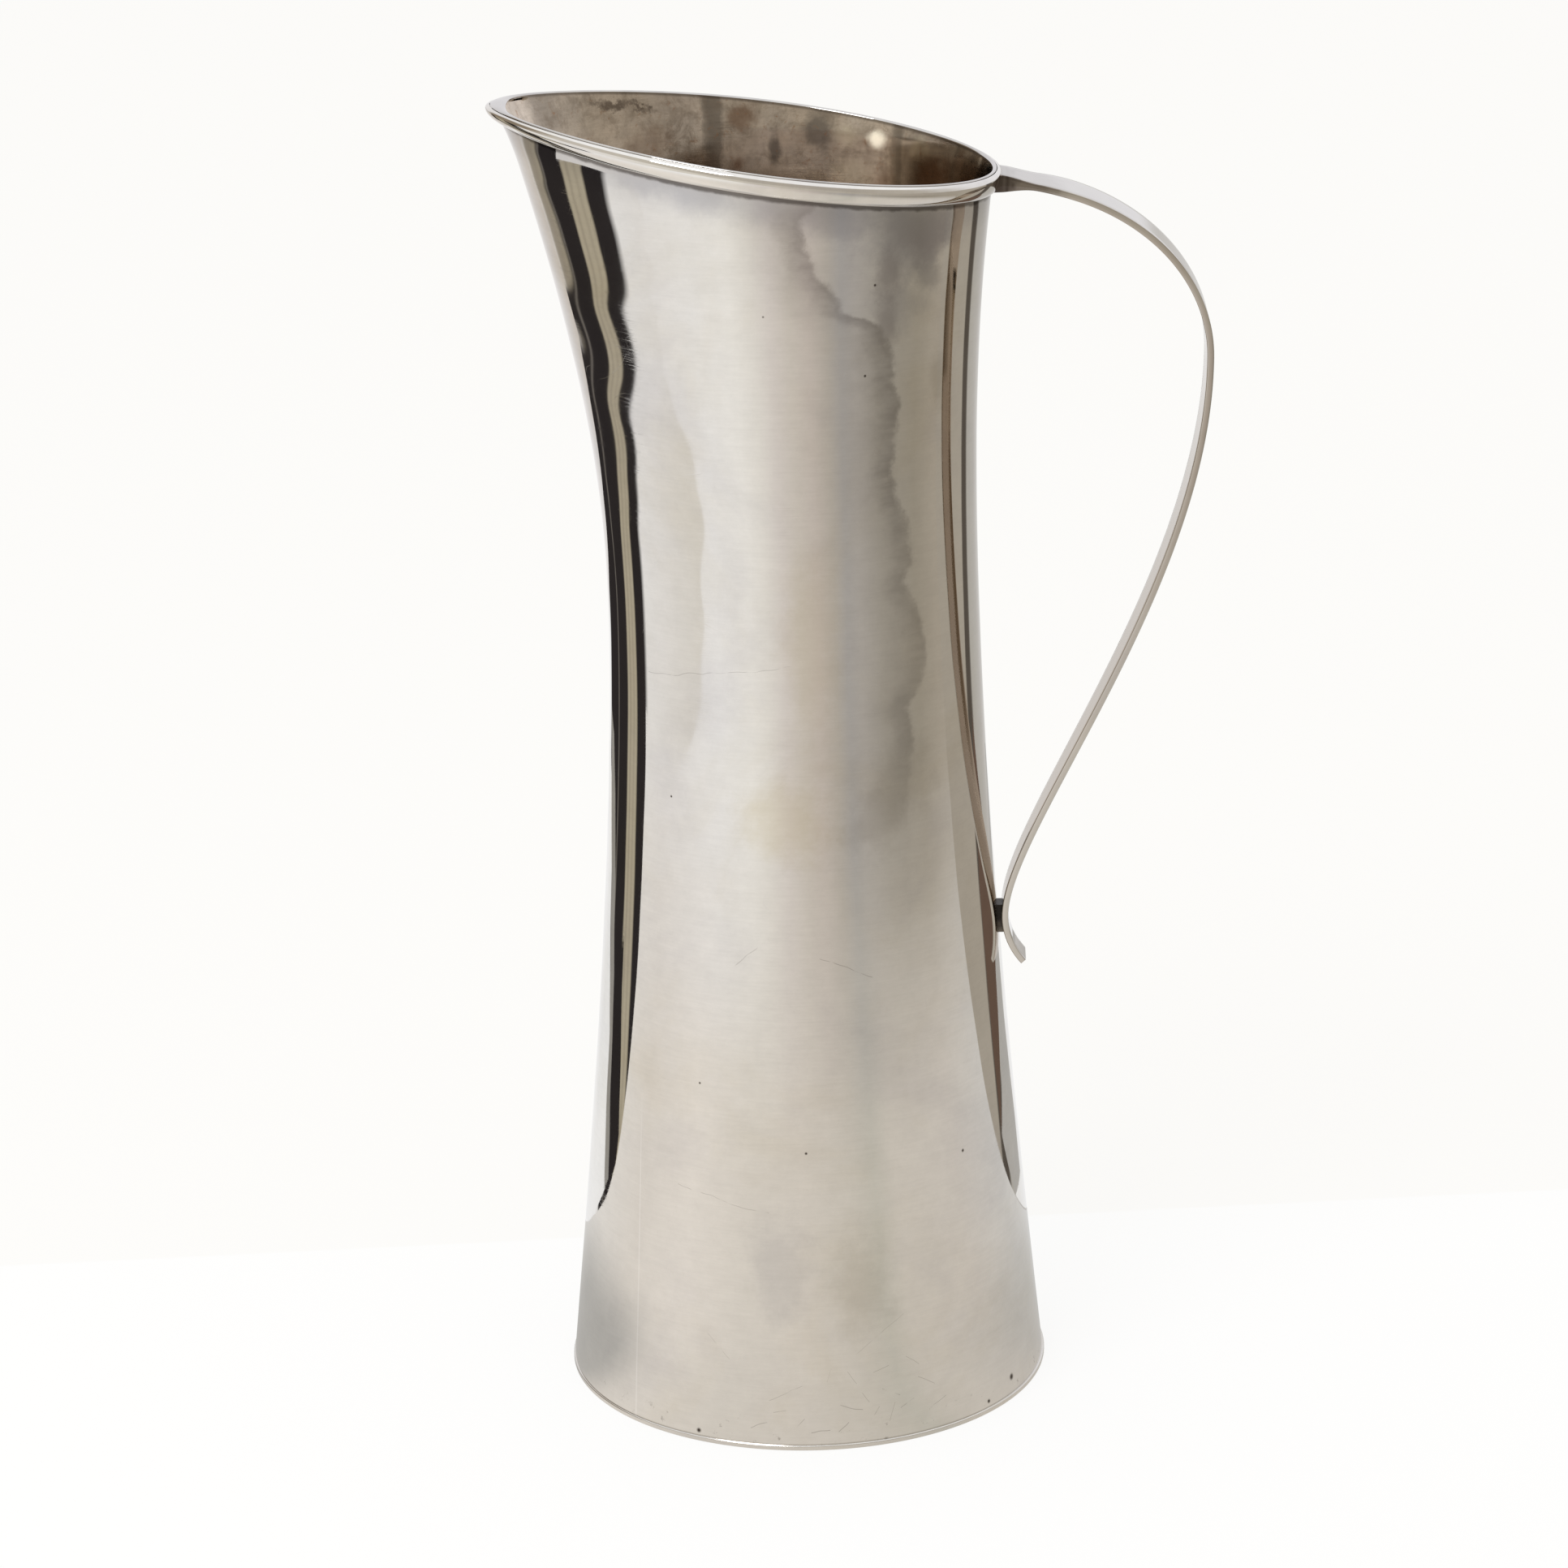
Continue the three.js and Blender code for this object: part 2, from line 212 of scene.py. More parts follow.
DIM_CARD = [
    (120, 88), (181, 110), (206, 245), (225, 290), (150, 480), (105, 480), (150, 285), (135, 225), (100, 150),
    (92, 110),
]

# The card that stands behind the spout: points in millimetres from above, the height of its lower edge
# and its shade at each.
SPOUT_CARD = [
    ((-284, 200), 133, (0.66, 0.61, 0.56)), ((-250, 230), 130, (0.70, 0.66, 0.63)),
    ((-200, 264), 117, (0.76, 0.74, 0.73)), ((-120, 290), 95, (0.90, 0.88, 0.88)),
    ((-40, 300), 82, (1.0, 1.0, 1.0)),
]
SPOUT_CARD_TOP = 290

# The colour of the table by direction, in degrees from the camera's side, far off and close by, and how much
# of the jug's own shade lies at its foot.
ROUND_ABOUT = [
    (-180, 1.0), (-130, 0.93), (-104, (0.88, 0.87, 0.86)), (-85, (0.87, 0.85, 0.84)),
    (-45, (0.94, 0.93, 0.92)), (-25, (0.93, 0.91, 0.87)), (-15, (0.85, 0.82, 0.77)), (-5, (0.74, 0.69, 0.65)),
    (5, (0.66, 0.61, 0.55)), (15, (0.60, 0.54, 0.49)), (25, (0.50, 0.46, 0.41)), (33, (0.43, 0.41, 0.39)),
    (41, (0.45, 0.42, 0.385)), (55, (0.39, 0.36, 0.31)), (65, (0.35, 0.32, 0.27)), (80, (0.345, 0.31, 0.25)),
    (96, (0.41, 0.365, 0.30)), (130, (0.43, 0.39, 0.33)), (150, 0.9), (179, 1.0),
]
CLOSE_BY = [
    (-180, 1.0), (-110, (0.84, 0.81, 0.77)), (-85, (0.81, 0.765, 0.71)), (-55, (0.88, 0.83, 0.77)),
    (-25, (0.78, 0.735, 0.67)), (0, (0.745, 0.695, 0.63)), (25, (0.66, 0.62, 0.555)),
    (35, (0.61, 0.585, 0.52)), (46, (0.68, 0.635, 0.57)), (80, (0.68, 0.635, 0.58)),
    (115, (0.67, 0.655, 0.63)), (150, 0.85), (179, 1.0),
]
FOOT_SHADE = [
    (-150, 0.3), (-115, 0.8), (-95, 0.85), (-78, 0.8), (-64, 0.25), (-45, 0.08), (60, 0.1), (95, 0.5),
    (140, 0.3),
]
FOOT_GREY = (0.43, 0.425, 0.41, 1.0)
# The room by direction: its front below eye level, its upper part, and the edge of the bands on the left.
FRONT_OF_ROOM = [
    (-85, (0.86, 0.84, 0.82)), (-60, (0.80, 0.77, 0.72)), (-30, (0.70, 0.66, 0.58)), (0, (0.60, 0.56, 0.49)),
    (40, (0.48, 0.44, 0.38)), (80, (0.40, 0.36, 0.30)),
]
UPPER_ROOM = [
    (-180, (0.86, 0.85, 0.87)), (-142, (0.84, 0.83, 0.84)), (-130, (0.27, 0.22, 0.165)),
    (-98, (0.27, 0.22, 0.165)), (-84, (0.62, 0.58, 0.52)), (-40, (0.54, 0.50, 0.43)),
    (40, (0.44, 0.40, 0.35)), (80, (0.50, 0.46, 0.40)), (120, (0.84, 0.83, 0.84)),
    (179, (0.86, 0.85, 0.87)),
]
EDGE_OF_BANDS = [
    (-180, 0.95), (-142, 0.93), (-135, (0.72, 0.69, 0.66)), (-131, (0.68, 0.64, 0.60)),
    (-129, (0.36, 0.325, 0.27)), (-124, (0.34, 0.30, 0.24)), (-118, (0.40, 0.36, 0.28)),
]

# A small step along the handle, in metres, that shows which way it runs.
SMALL_STEP = 0.0002


def cubic(t, span, start, start_slope, end, end_slope):
    """A cubic between two values whose slopes at both ends are given."""
    first = (1 + 2 * t) * (1 - t) ** 2 * start + t * (1 - t) ** 2 * span * start_slope
    last = t * t * (3 - 2 * t) * end + t * t * (t - 1) * span * end_slope
    return first + last


def smoothstep(value, low, high):
    """Rises smoothly from 0 at low to 1 at high."""
    t = np.clip((value - low) / (high - low), 0.0, 1.0)
    return t * t * (3 - 2 * t)


class JugShape:
    """The curved wall of the jug, its rim wire and its handle's path, worked out from the sizes."""

    def __init__(self, sizes):
        self.sizes = sizes
        self.foot = sizes.plate_thickness
        self.round = np.linspace(0, 2 * math.pi, sizes.round_steps, endpoint=False)
        self.path, self.path_distance, self.contact_distance = self.handle_path()

    def side_radius(self, z):
        """The outside radius away from the spout."""
        s = self.sizes
        z = np.asarray(z, float)
        low = cubic(z / s.waist_height, s.waist_height, s.base_radius, -math.tan(s.base_lean),
                    s.waist_radius, 0.0)
        span = s.handle_rim_height - s.waist_height
        t = np.clip((z - s.waist_height) / span, 0.0, 1.0)
        above = np.maximum(z - s.handle_rim_height, 0.0) * math.tan(s.mouth_lean)
        high = cubic(t, span, s.waist_radius, 0.0, s.mouth_radius, math.tan(s.mouth_lean)) + above
        return np.where(z < s.waist_height, low, high)

    def spout_reach(self, z):
        """How far the spout stands out past that radius."""
        s = self.sizes
        above = z - s.spout_bend_height
        return math.tan(s.spout_lean) * (np.hypot(above, s.spout_bend_softness) + above) / 2

    def rim_height(self, turn):
        """Height of the rim's slanting cut."""
        s = self.sizes
        return s.handle_rim_height + (s.spout_rim_height - s.handle_rim_height) * self.to_spout(turn)

    def to_spout(self, turn):
        """How far round towards the spout's tip a turn lies: 0 at the handle and 1 at the tip."""
        return (1 - np.cos(turn)) / 2

    def wall(self, turn, z, grow):
        """Points on the outside of the body, moved outwards by grow."""
        s = self.sizes
        turn, z, grow = np.broadcast_arrays(np.asarray(turn, float), np.asarray(z, float),
                                            np.asarray(grow, float))
        depth = self.rim_height(turn) - z
        side = self.side_radius(z) + s.lip_flare * np.maximum(1 - depth / s.lip_height, 0) ** 2 + grow
        lip = s.spout_lip_flare * np.maximum(1 - depth / s.spout_lip_height, 0) ** 2
        reach = self.spout_reach(z) + lip
        to_spout = self.to_spout(turn)
        pinch = 1 - s.spout_pinch * reach * to_spout ** 3
        return np.stack([side * np.cos(turn) - reach * to_spout, side * np.sin(turn) * pinch, z], -1)

    def waves(self, turn, z):
        """The shallow waves that the hammer left, calm on the body and livelier round the spout."""
        s = self.sizes
        turn, z = np.broadcast_arrays(turn, z)
        depth = self.rim_height(turn) - z
        lively = self.to_spout(turn) ** 1.5 * smoothstep(z, s.waist_height - 0.04, s.spout_rim_height)
        from_tip = np.abs(turn - math.pi)
        lively = lively * smoothstep(from_tip, math.radians(10), math.radians(28))
        height = s.calm_wave + s.spout_wave * lively
        fade = smoothstep(depth, 0.004, 0.022) * smoothstep(z, 0.002, 0.02)
        radius = s.waist_radius / s.wave_length
        bumps = np.empty(turn.shape)
        for spot in np.ndindex(turn.shape):
            x, y = radius * math.cos(turn[spot]), radius * math.sin(turn[spot])
            h = z[spot] / s.wave_length
            coarse = noise.noise(Vector((x, y, h)))
            fine = noise.noise(Vector((2 * x + 7, 2 * y, 2 * h)))
            upright = noise.noise(Vector((5 * x, 5 * y, 0.2 * h + 3)))
            bumps[spot] = height[spot] * (coarse + 0.35 * fine) + s.flute * upright
        return fade * bumps

    def wire_tall(self, turn):
        """Height of the rim wire, which is lower round the spout's tip."""
        s = self.sizes
        return s.wire_height + (s.spout_wire_height - s.wire_height) * self.to_spout(turn) ** s.wire_taper

    def wire_bulge(self, turn, depth):
        """How far the rim wire stands out at a depth under the lip's shoulder."""
        share = np.clip(2 * depth / self.wire_tall(turn) - 1, -1, 1)
        return self.sizes.wire_thickness * np.sqrt(1 - share * share)

    def wire_face(self, across, z, film):
        """How far out the face of the rim wire lies on the handle's side, with a film over it."""
        s = self.sizes
        turn = np.arcsin(across / (s.mouth_radius + s.wire_thickness))
        depth = self.rim_height(turn) - s.lip_round - z
        return self.wall(turn, z, s.solder_film + self.wire_bulge(turn, depth) + film)[..., 0]

    def under_wire(self, turn, z):
        """How far a place lies under the lower edge of the rim wire."""
        return self.rim_height(turn) - self.sizes.lip_round - self.wire_tall(turn) - z

    def handle_path(self):
        """The handle's centre line: points, their distances along it, and where it touches the body."""
        s = self.sizes
        root_height = s.handle_rim_height - s.handle_root_drop
        root_x = float(self.side_radius(root_height))
        swing = np.linspace(math.pi / 2, 0, 400)
        loop = np.stack([root_x + (s.handle_reach - root_x) * np.cos(swing),
                         s.handle_bend_height + (root_height - s.handle_bend_height) * np.sin(swing)], -1)
        gap = s.pad_thickness + 2 * s.solder_film
        contact_x = float(self.side_radius(s.handle_contact_height)) + gap + s.strap_thickness / 2
        pulls = np.array([(s.handle_reach, s.handle_bend_height),
                          (s.handle_reach, s.handle_bend_height - s.upper_pull),
                          (contact_x, s.handle_contact_height + s.lower_pull),
                          (contact_x, s.handle_contact_height)])
        t = np.linspace(0, 1, 600)[1:, None]
        fall = ((1 - t) ** 3 * pulls[0] + 3 * (1 - t) ** 2 * t * pulls[1]
                + 3 * (1 - t) * t * t * pulls[2] + t ** 3 * pulls[3])
        curl = np.linspace(math.pi, math.pi + s.tail_turn, 120)[1:]
        tail = np.stack([contact_x + s.tail_radius + s.tail_radius * np.cos(curl),
                         s.handle_contact_height + s.tail_radius * np.sin(curl)], -1)
        path = np.concatenate([loop, fall, tail])
        steps = np.hypot(*np.diff(path, axis=0).T)
        distance = np.concatenate([[0.0], np.cumsum(steps)])
        return path, distance, distance[len(loop) + len(fall) - 1]

    def strap_frame(self, distance):
        """The strap's centre at a distance along it, and the way that faces out from the loop."""
        ends = [np.array([np.interp(d, self.path_distance, self.path[:, axis]) for axis in (0, 1)])
                for d in (distance - SMALL_STEP, distance, distance + SMALL_STEP)]
        along = ends[2] - ends[0]
        along = along / np.hypot(*along)
        return ends[1], np.array([-along[1], along[0]])

    def strap_size(self, distance):
        """The strap's width and thickness at a distance along it."""
        s = self.sizes
        total = self.path_distance[-1]
        rooted = 1 - smoothstep(distance, 0.0, s.root_length)
        thickness = s.strap_thickness + (s.root_thickness - s.strap_thickness) * rooted
        taper = np.clip((distance - s.loop_start) / (total - s.loop_start), 0, 1)
        width = (s.root_width + (s.loop_width - s.root_width) * smoothstep(distance, 0.0, s.loop_start)
                 + (s.tail_width - s.loop_width) * taper)
        return float(width), float(thickness)


# Meshes


def skin(rings, closed):
    """Points and faces of a skin drawn over closed rings, and back to the first ring if it is closed."""
    rows, columns = rings.shape[:2]
    faces = []
    for row in range(rows if closed else rows - 1):
        above = (row + 1) % rows
        for column in range(columns):
            beside = (column + 1) % columns
            faces.append((row * columns + column, row * columns + beside,
                          above * columns + beside, above * columns + column))
    return rings.reshape(-1, 3).tolist(), faces


def capped_skin(rings):
    """An open skin over rings that run across and back again, with both ends closed strip by strip."""
    points, faces = skin(rings, closed=False)
    columns = rings.shape[1]
    for first in (0, len(points) - columns):
        last = first + columns - 1
        for step in range(columns // 2 - 1):
            faces.append((first + step, first + step + 1, last - 1 - step, last - step))
    return points, faces


def add_piece(name, points, faces, node, materials, sharp=40.0):
    """Makes a piece of the jug that rides on the body and stands for one solid."""
    mesh = bpy.data.meshes.new(name)
    mesh.from_pydata(points, [], faces)
    shaped = bmesh.new()
    shaped.from_mesh(mesh)
    bmesh.ops.recalc_face_normals(shaped, faces=shaped.faces)
    shaped.to_mesh(mesh)
    shaped.free()
    mesh.shade_smooth()
    mesh.set_sharp_from_angle(angle=math.radians(sharp))
    for material in materials:
        mesh.materials.append(material)
    piece = bpy.data.objects.new(name, mesh)
    bpy.context.scene.collection.objects.link(piece)
    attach(piece, "root")
    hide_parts(node)
    return piece


def mark_points(piece, name, values):
    """Keeps one number for each point of a piece, for its material to read."""
    mark = piece.data.attributes.new(name, "FLOAT", "POINT")
    mark.data.foreach_set("value", np.asarray(values, np.float32).ravel())


# Shader nodes


class Signal:
    """A number, colour or vector on its way through a shader tree. Numbers take part in plain sums."""

    def __init__(self, tree, socket):
        self.tree, self.socket = tree, socket

    def sum(self, operation, other=0.0, clamp=False):
        """One sum of this number and another."""
        return signal(self.tree, "ShaderNodeMath", 0, {0: self, 1: other}, operation=operation,
                      use_clamp=clamp)

    def __add__(self, other):
        return self.sum("ADD", other)

    def __sub__(self, other):
        return self.sum("SUBTRACT", other)

    def __rsub__(self, other):
        return signal(self.tree, "ShaderNodeMath", 0, {0: other, 1: self}, operation="SUBTRACT")

    def __mul__(self, other):
        return self.sum("MULTIPLY", other)

    def __truediv__(self, other):
        return self.sum("DIVIDE", other)

    def __abs__(self):
        return self.sum("ABSOLUTE")


def add(tree, kind, values=None, **settings):
    """Adds a node, sets it up and fills its inputs with plain values or signals."""
    node = tree.nodes.new(kind)
    for key, value in settings.items():
        setattr(node, key, value)
    for key, value in (values or {}).items():
        if isinstance(value, Signal):
            tree.links.new(value.socket, node.inputs[key])
        else:
            node.inputs[key].default_value = value
    return node


def signal(tree, kind, output, values=None, **settings):
    """Adds a node and gives one of its outputs."""
    return Signal(tree, add(tree, kind, values, **settings).outputs[output])


def signals(tree, kind, values=None, **settings):
    """Adds a node and gives all its outputs by name."""
    return {socket.name: Signal(tree, socket) for socket in add(tree, kind, values, **settings).outputs}


def use_group(tree, name, values):
    """Places a shared effect in a material with its own values."""
    return signals(tree, "ShaderNodeGroup", values, node_tree=bpy.data.node_groups[name])


def move(operation, first, second):
    """One sum on vectors."""
    return signal(first.tree, "ShaderNodeVectorMath", 0, {0: first, 1: second}, operation=operation)


def far_out(vector):
    """How long a vector is."""
    return signal(vector.tree, "ShaderNodeVectorMath", "Value", {0: vector}, operation="LENGTH")


def parts(vector):
    """The X, Y and Z of a vector."""
    return signals(vector.tree, "ShaderNodeSeparateXYZ", {"Vector": vector})


def rise(value, low, high):
    """Turns a number into 0 below low and 1 above high, with a smooth rise between."""
    return signal(value.tree, "ShaderNodeMapRange", "Result",
                  {"Value": value, "From Min": low, "From Max": high}, interpolation_type="SMOOTHSTEP")


def blend(first, second, amount, mode="MIX"):
    """Mixes two colours. The first one or the amount is a signal."""
    tree = amount.tree if isinstance(amount, Signal) else first.tree
    return signal(tree, "ShaderNodeMix", 2, {0: amount, 6: first, 7: second}, data_type="RGBA",
                  blend_type=mode)


def ramp(value, stops):
    """Colours along a number, from a list of places and colours."""
    node = add(value.tree, "ShaderNodeValToRGB", {"Fac": value})
    elements = node.color_ramp.elements
    while len(elements) < len(stops):
        elements.new(1.0)
    for element, (place, shade) in zip(elements, stops):
        element.position = place
        element.color = rgba(shade if isinstance(shade, tuple) else (shade, shade, shade))
    return Signal(value.tree, node.outputs["Color"])


def dense_noise(place, density, detail=4.0, roughness=0.55, distortion=0.0):
    """Noise with the given number of features in a metre."""
    return signal(place.tree, "ShaderNodeTexNoise", "Fac", {
        "Vector": place, "Scale": density, "Detail": detail, "Roughness": roughness,
        "Distortion": distortion})


def noise_at(place, size, *kind):
    """Noise with features of about the given size in metres."""
    return dense_noise(place, 1.0 / size, *kind)


def rgba(shade):
    """A colour with full alpha, as node sockets take it."""
    return (shade[0], shade[1], shade[2], 1.0)


def new_material(name):
    """A material with an empty tree."""
    material = bpy.data.materials.new(name)
    material.use_nodes = True
    material.node_tree.nodes.clear()
    return material, material.node_tree


def show(tree, shader, output="ShaderNodeOutputMaterial"):
    """Makes a shader the one that the tree shows."""
    add(tree, output, {"Surface": Signal(tree, shader.outputs[0])})


# Shared effects


SOCKETS = {"value": "NodeSocketFloat", "vector": "NodeSocketVector", "colour": "NodeSocketColor"}


def new_group(name, inputs, outputs):
    """Starts a shared shader effect: gives its inputs, and a function that takes its results."""
    group = bpy.data.node_groups.new(name, "ShaderNodeTree")
    for way, sockets in (("INPUT", inputs), ("OUTPUT", outputs)):
        for label, kind in sockets.items():
            group.interface.new_socket(name=label, in_out=way, socket_type=SOCKETS[kind])
    given = signals(group, "NodeGroupInput")
    end = group.nodes.new("NodeGroupOutput")

    def put_out(**results):
        for label, result in results.items():
            group.links.new(result.socket, end.inputs[label])

    return given, put_out


def make_tarnish_group():
    """Soft clouds of warm and cool tarnish over clean silver."""
    given, put_out = new_group(
        "Cloudy tarnish",
        {"Place": "vector", "Density": "value", "Silver": "colour", "Warm film": "colour",
         "Cool film": "colour", "Amount": "value"},
        {"Colour": "colour", "Dullness": "value"})
    moved = move("ADD", given["Place"], (0.31, 0.17, 0.23))
    warm_noise = dense_noise(given["Place"], given["Density"], 5.0, 0.6, 0.7)
    cool_noise = dense_noise(moved, given["Density"], 6.0, 0.62, 0.4)
    warm = rise(warm_noise, 0.46, 0.74) * given["Amount"]
    cool = rise(cool_noise, 0.48, 0.72) * given["Amount"]
    tinted = blend(given["Silver"], given["Warm film"], warm)
    put_out(Colour=blend(tinted, given["Cool film"], cool), Dullness=warm.sum("MAXIMUM", cool))


def make_hairline_group():
    """Fine lines from years of rubbing: level ones, and a few that wander."""
    given, put_out = new_group("Hairlines", {"Place": "vector", "Stretch": "vector", "Amount": "value"},
                               {"Height": "value", "Dullness": "value"})
    place = given["Place"]
    lines = noise_at(move("MULTIPLY", place, given["Stretch"]), 1.0, 3.0, 0.7)
    broken = rise(noise_at(place, 0.012, 3.0), 0.42, 0.66)
    rubbed = rise(lines, 0.52, 0.70) * broken
    wander = noise_at(place, 0.030, 2.0, 0.5, 1.2)
    gaps = rise(noise_at(place, 0.021, 2.0), 0.52, 0.60)
    strays = rise(abs(wander - 0.5), 0.0016, 0.0004) * gaps
    both = rubbed.sum("MAXIMUM", strays)
    put_out(Dullness=both * given["Amount"], Height=(1.0 - both) * given["Amount"])


def make_pit_group():
    """A few tiny dark pits."""
    given, put_out = new_group(
        "Pits", {"Place": "vector", "Density": "value", "Size": "value", "Rarity": "value"},
        {"Mask": "value"})
    tree = given["Place"].tree
    cells = signals(tree, "ShaderNodeTexVoronoi", {"Vector": given["Place"], "Scale": given["Density"]})
    pick = signal(tree, "ShaderNodeSeparateColor", 0, {"Color": cells["Color"]})
    inside = cells["Distance"].sum("LESS_THAN", given["Size"] * pick)
    put_out(Mask=inside * pick.sum("GREATER_THAN", given["Rarity"]))


def make_stain_group():
    """A soft stain with a ragged outline, like a dried drop."""
    given, put_out = new_group(
        "Stain", {"Place": "vector", "Centre": "vector", "Reach": "vector", "Ragged": "value"},
        {"Mask": "value"})
    place = given["Place"]
    scaled = move("DIVIDE", move("SUBTRACT", place, given["Centre"]), given["Reach"])
    coarse = noise_at(place, 0.011, 6.0, 0.65) - 0.5
    put_out(Mask=rise(far_out(scaled) + coarse * given["Ragged"], 1.0, 0.2))


def make_grain_group():
    """Level marks of the polishing cloth and small blotches between them, as a light that varies round 1."""
    given, put_out = new_group("Brushed grain", {"Place": "vector", "Amount": "value"}, {"Light": "value"})
    place = given["Place"]
    brush = noise_at(move("MULTIPLY", place, (0.10, 0.10, 1.0)), 0.0009, 4.0, 0.7) - 0.5
    blotch = noise_at(place, 0.0055, 7.0, 0.72) - 0.5
    put_out(Light=(brush + blotch * 1.5) * given["Amount"] + 1.0)


def make_round_group():
    """Where a place lies round the jug, in degrees from the handle, and how high it is in millimetres."""
    given, put_out = new_group("Round the jug", {"Place": "vector"}, {"Turn": "value", "Height": "value"})
    spot = parts(given["Place"])
    turn = (spot["Y"] * -1.0).sum("ARCTAN2", spot["X"] * -1.0) + math.pi
    put_out(Turn=turn * (180 / math.pi), Height=spot["Z"] * 1000.0)


def make_scratch_group():
    """One fine scratch from one place round the jug to another."""
    given, put_out = new_group(
        "Scratch",
        {"Place": "vector", "Turn": "value", "Height": "value", "From turn": "value", "To turn": "value",
         "From height": "value", "To height": "value", "Width": "value"},
        {"Mask": "value"})
    place = given["Place"]
    share = signal(place.tree, "ShaderNodeMapRange", "Result", {
        "Value": given["Turn"], "From Min": given["From turn"], "From Max": given["To turn"]}, clamp=False)
    line = signal(place.tree, "ShaderNodeMapRange", "Result", {
        "Value": share, "To Min": given["From height"], "To Max": given["To height"]}, clamp=False)
    wobble = (noise_at(place, 0.009, 2.0) - 0.5) * 2.4
    thin = abs(given["Height"] - (line + wobble)).sum("LESS_THAN", given["Width"])
    inside = abs(share - 0.5).sum("LESS_THAN", 0.5)
    broken = rise(noise_at(place, 0.005, 2.0), 0.38, 0.5)
    put_out(Mask=thin * inside * broken)


# Finishes


class Silver:
    """A silver finish in the making: coats of colour and roughness over clean silver."""

    def __init__(self, name, finish, silver, film, patch, hair, stretch, grain=0.12, metallic=1.0):
        """Starts with clouds of tarnish, brushed grain, hairlines and pits."""
        self.material, self.tree = new_material(name)
        self.shader = add(self.tree, "ShaderNodeBsdfPrincipled", {"Metallic": metallic})
        show(self.tree, self.shader)
        self.place = signal(self.tree, "ShaderNodeTexCoord", "Object")
        cloud = self.effect("Cloudy tarnish", {
            "Density": 1.0 / patch, "Silver": rgba(silver), "Warm film": rgba(finish.warm_film),
            "Cool film": rgba(finish.cool_film), "Amount": film})
        lines = self.effect("Hairlines", {"Stretch": stretch, "Amount": hair})
        pits = self.effect("Pits", {"Density": 70.0, "Size": 0.012, "Rarity": 0.82})["Mask"]
        self.shade = cloud["Colour"]
        self.dim(self.effect("Brushed grain", {"Amount": grain})["Light"])
        self.lay(finish.cool_film, lines["Dullness"] * 0.14)
        self.lay(finish.black_tarnish, pits * 0.8)
        self.rough = cloud["Dullness"] * 0.035 + finish.polish
        self.roughen(lines["Dullness"] * 0.05)
        self.roughen(pits * 0.3)
        self.height = lines["Height"] - pits

    def effect(self, name, values):
        """Places a shared effect on this finish."""
        return use_group(self.tree, name, {"Place": self.place, **values})

    def noise(self, size, *kind):
        """Noise over this finish, with features of about the given size in metres."""
        return noise_at(self.place, size, *kind)

    def mark(self, name):
        """A number that the piece keeps at its points."""
        return signal(self.tree, "ShaderNodeAttribute", "Fac", attribute_name=name)

    def stain(self, centre, reach, ragged):
        """Where a stain lies, with its centre and reach in millimetres."""
        return self.effect("Stain", {"Centre": [MM * c for c in centre], "Reach": [MM * r for r in reach],
                                     "Ragged": ragged})["Mask"]

    def lay(self, tint, amount):
        """Lays a colour over what is there."""
        self.shade = blend(self.shade, rgba(tint), amount)

    def lay_stains(self, stains, ragged):
        """Lays a list of stains: centre, reach, colour and strength."""
        for centre, reach, tint, strength in stains:
            self.lay(tint, self.stain(centre, reach, ragged) * strength)

    def dim(self, light):
        """Multiplies what is there by a light."""
        self.shade = blend(self.shade, light, 1.0, "MULTIPLY")

    def roughen(self, amount):
        """Makes the surface duller."""
        self.rough = self.rough + amount

    def finished(self, bump_strength):
        """Feeds the shader and gives the material."""
        bump = signal(self.tree, "ShaderNodeBump", "Normal", {
            "Strength": bump_strength, "Distance": 0.00002, "Height": self.height})
        for name, fed in (("Base Color", self.shade), ("Roughness", self.rough), ("Normal", bump)):
            self.tree.links.new(fed.socket, self.shader.inputs[name])
        return self.material


LEVEL_RUBBING = (55.0, 55.0, 5200.0)

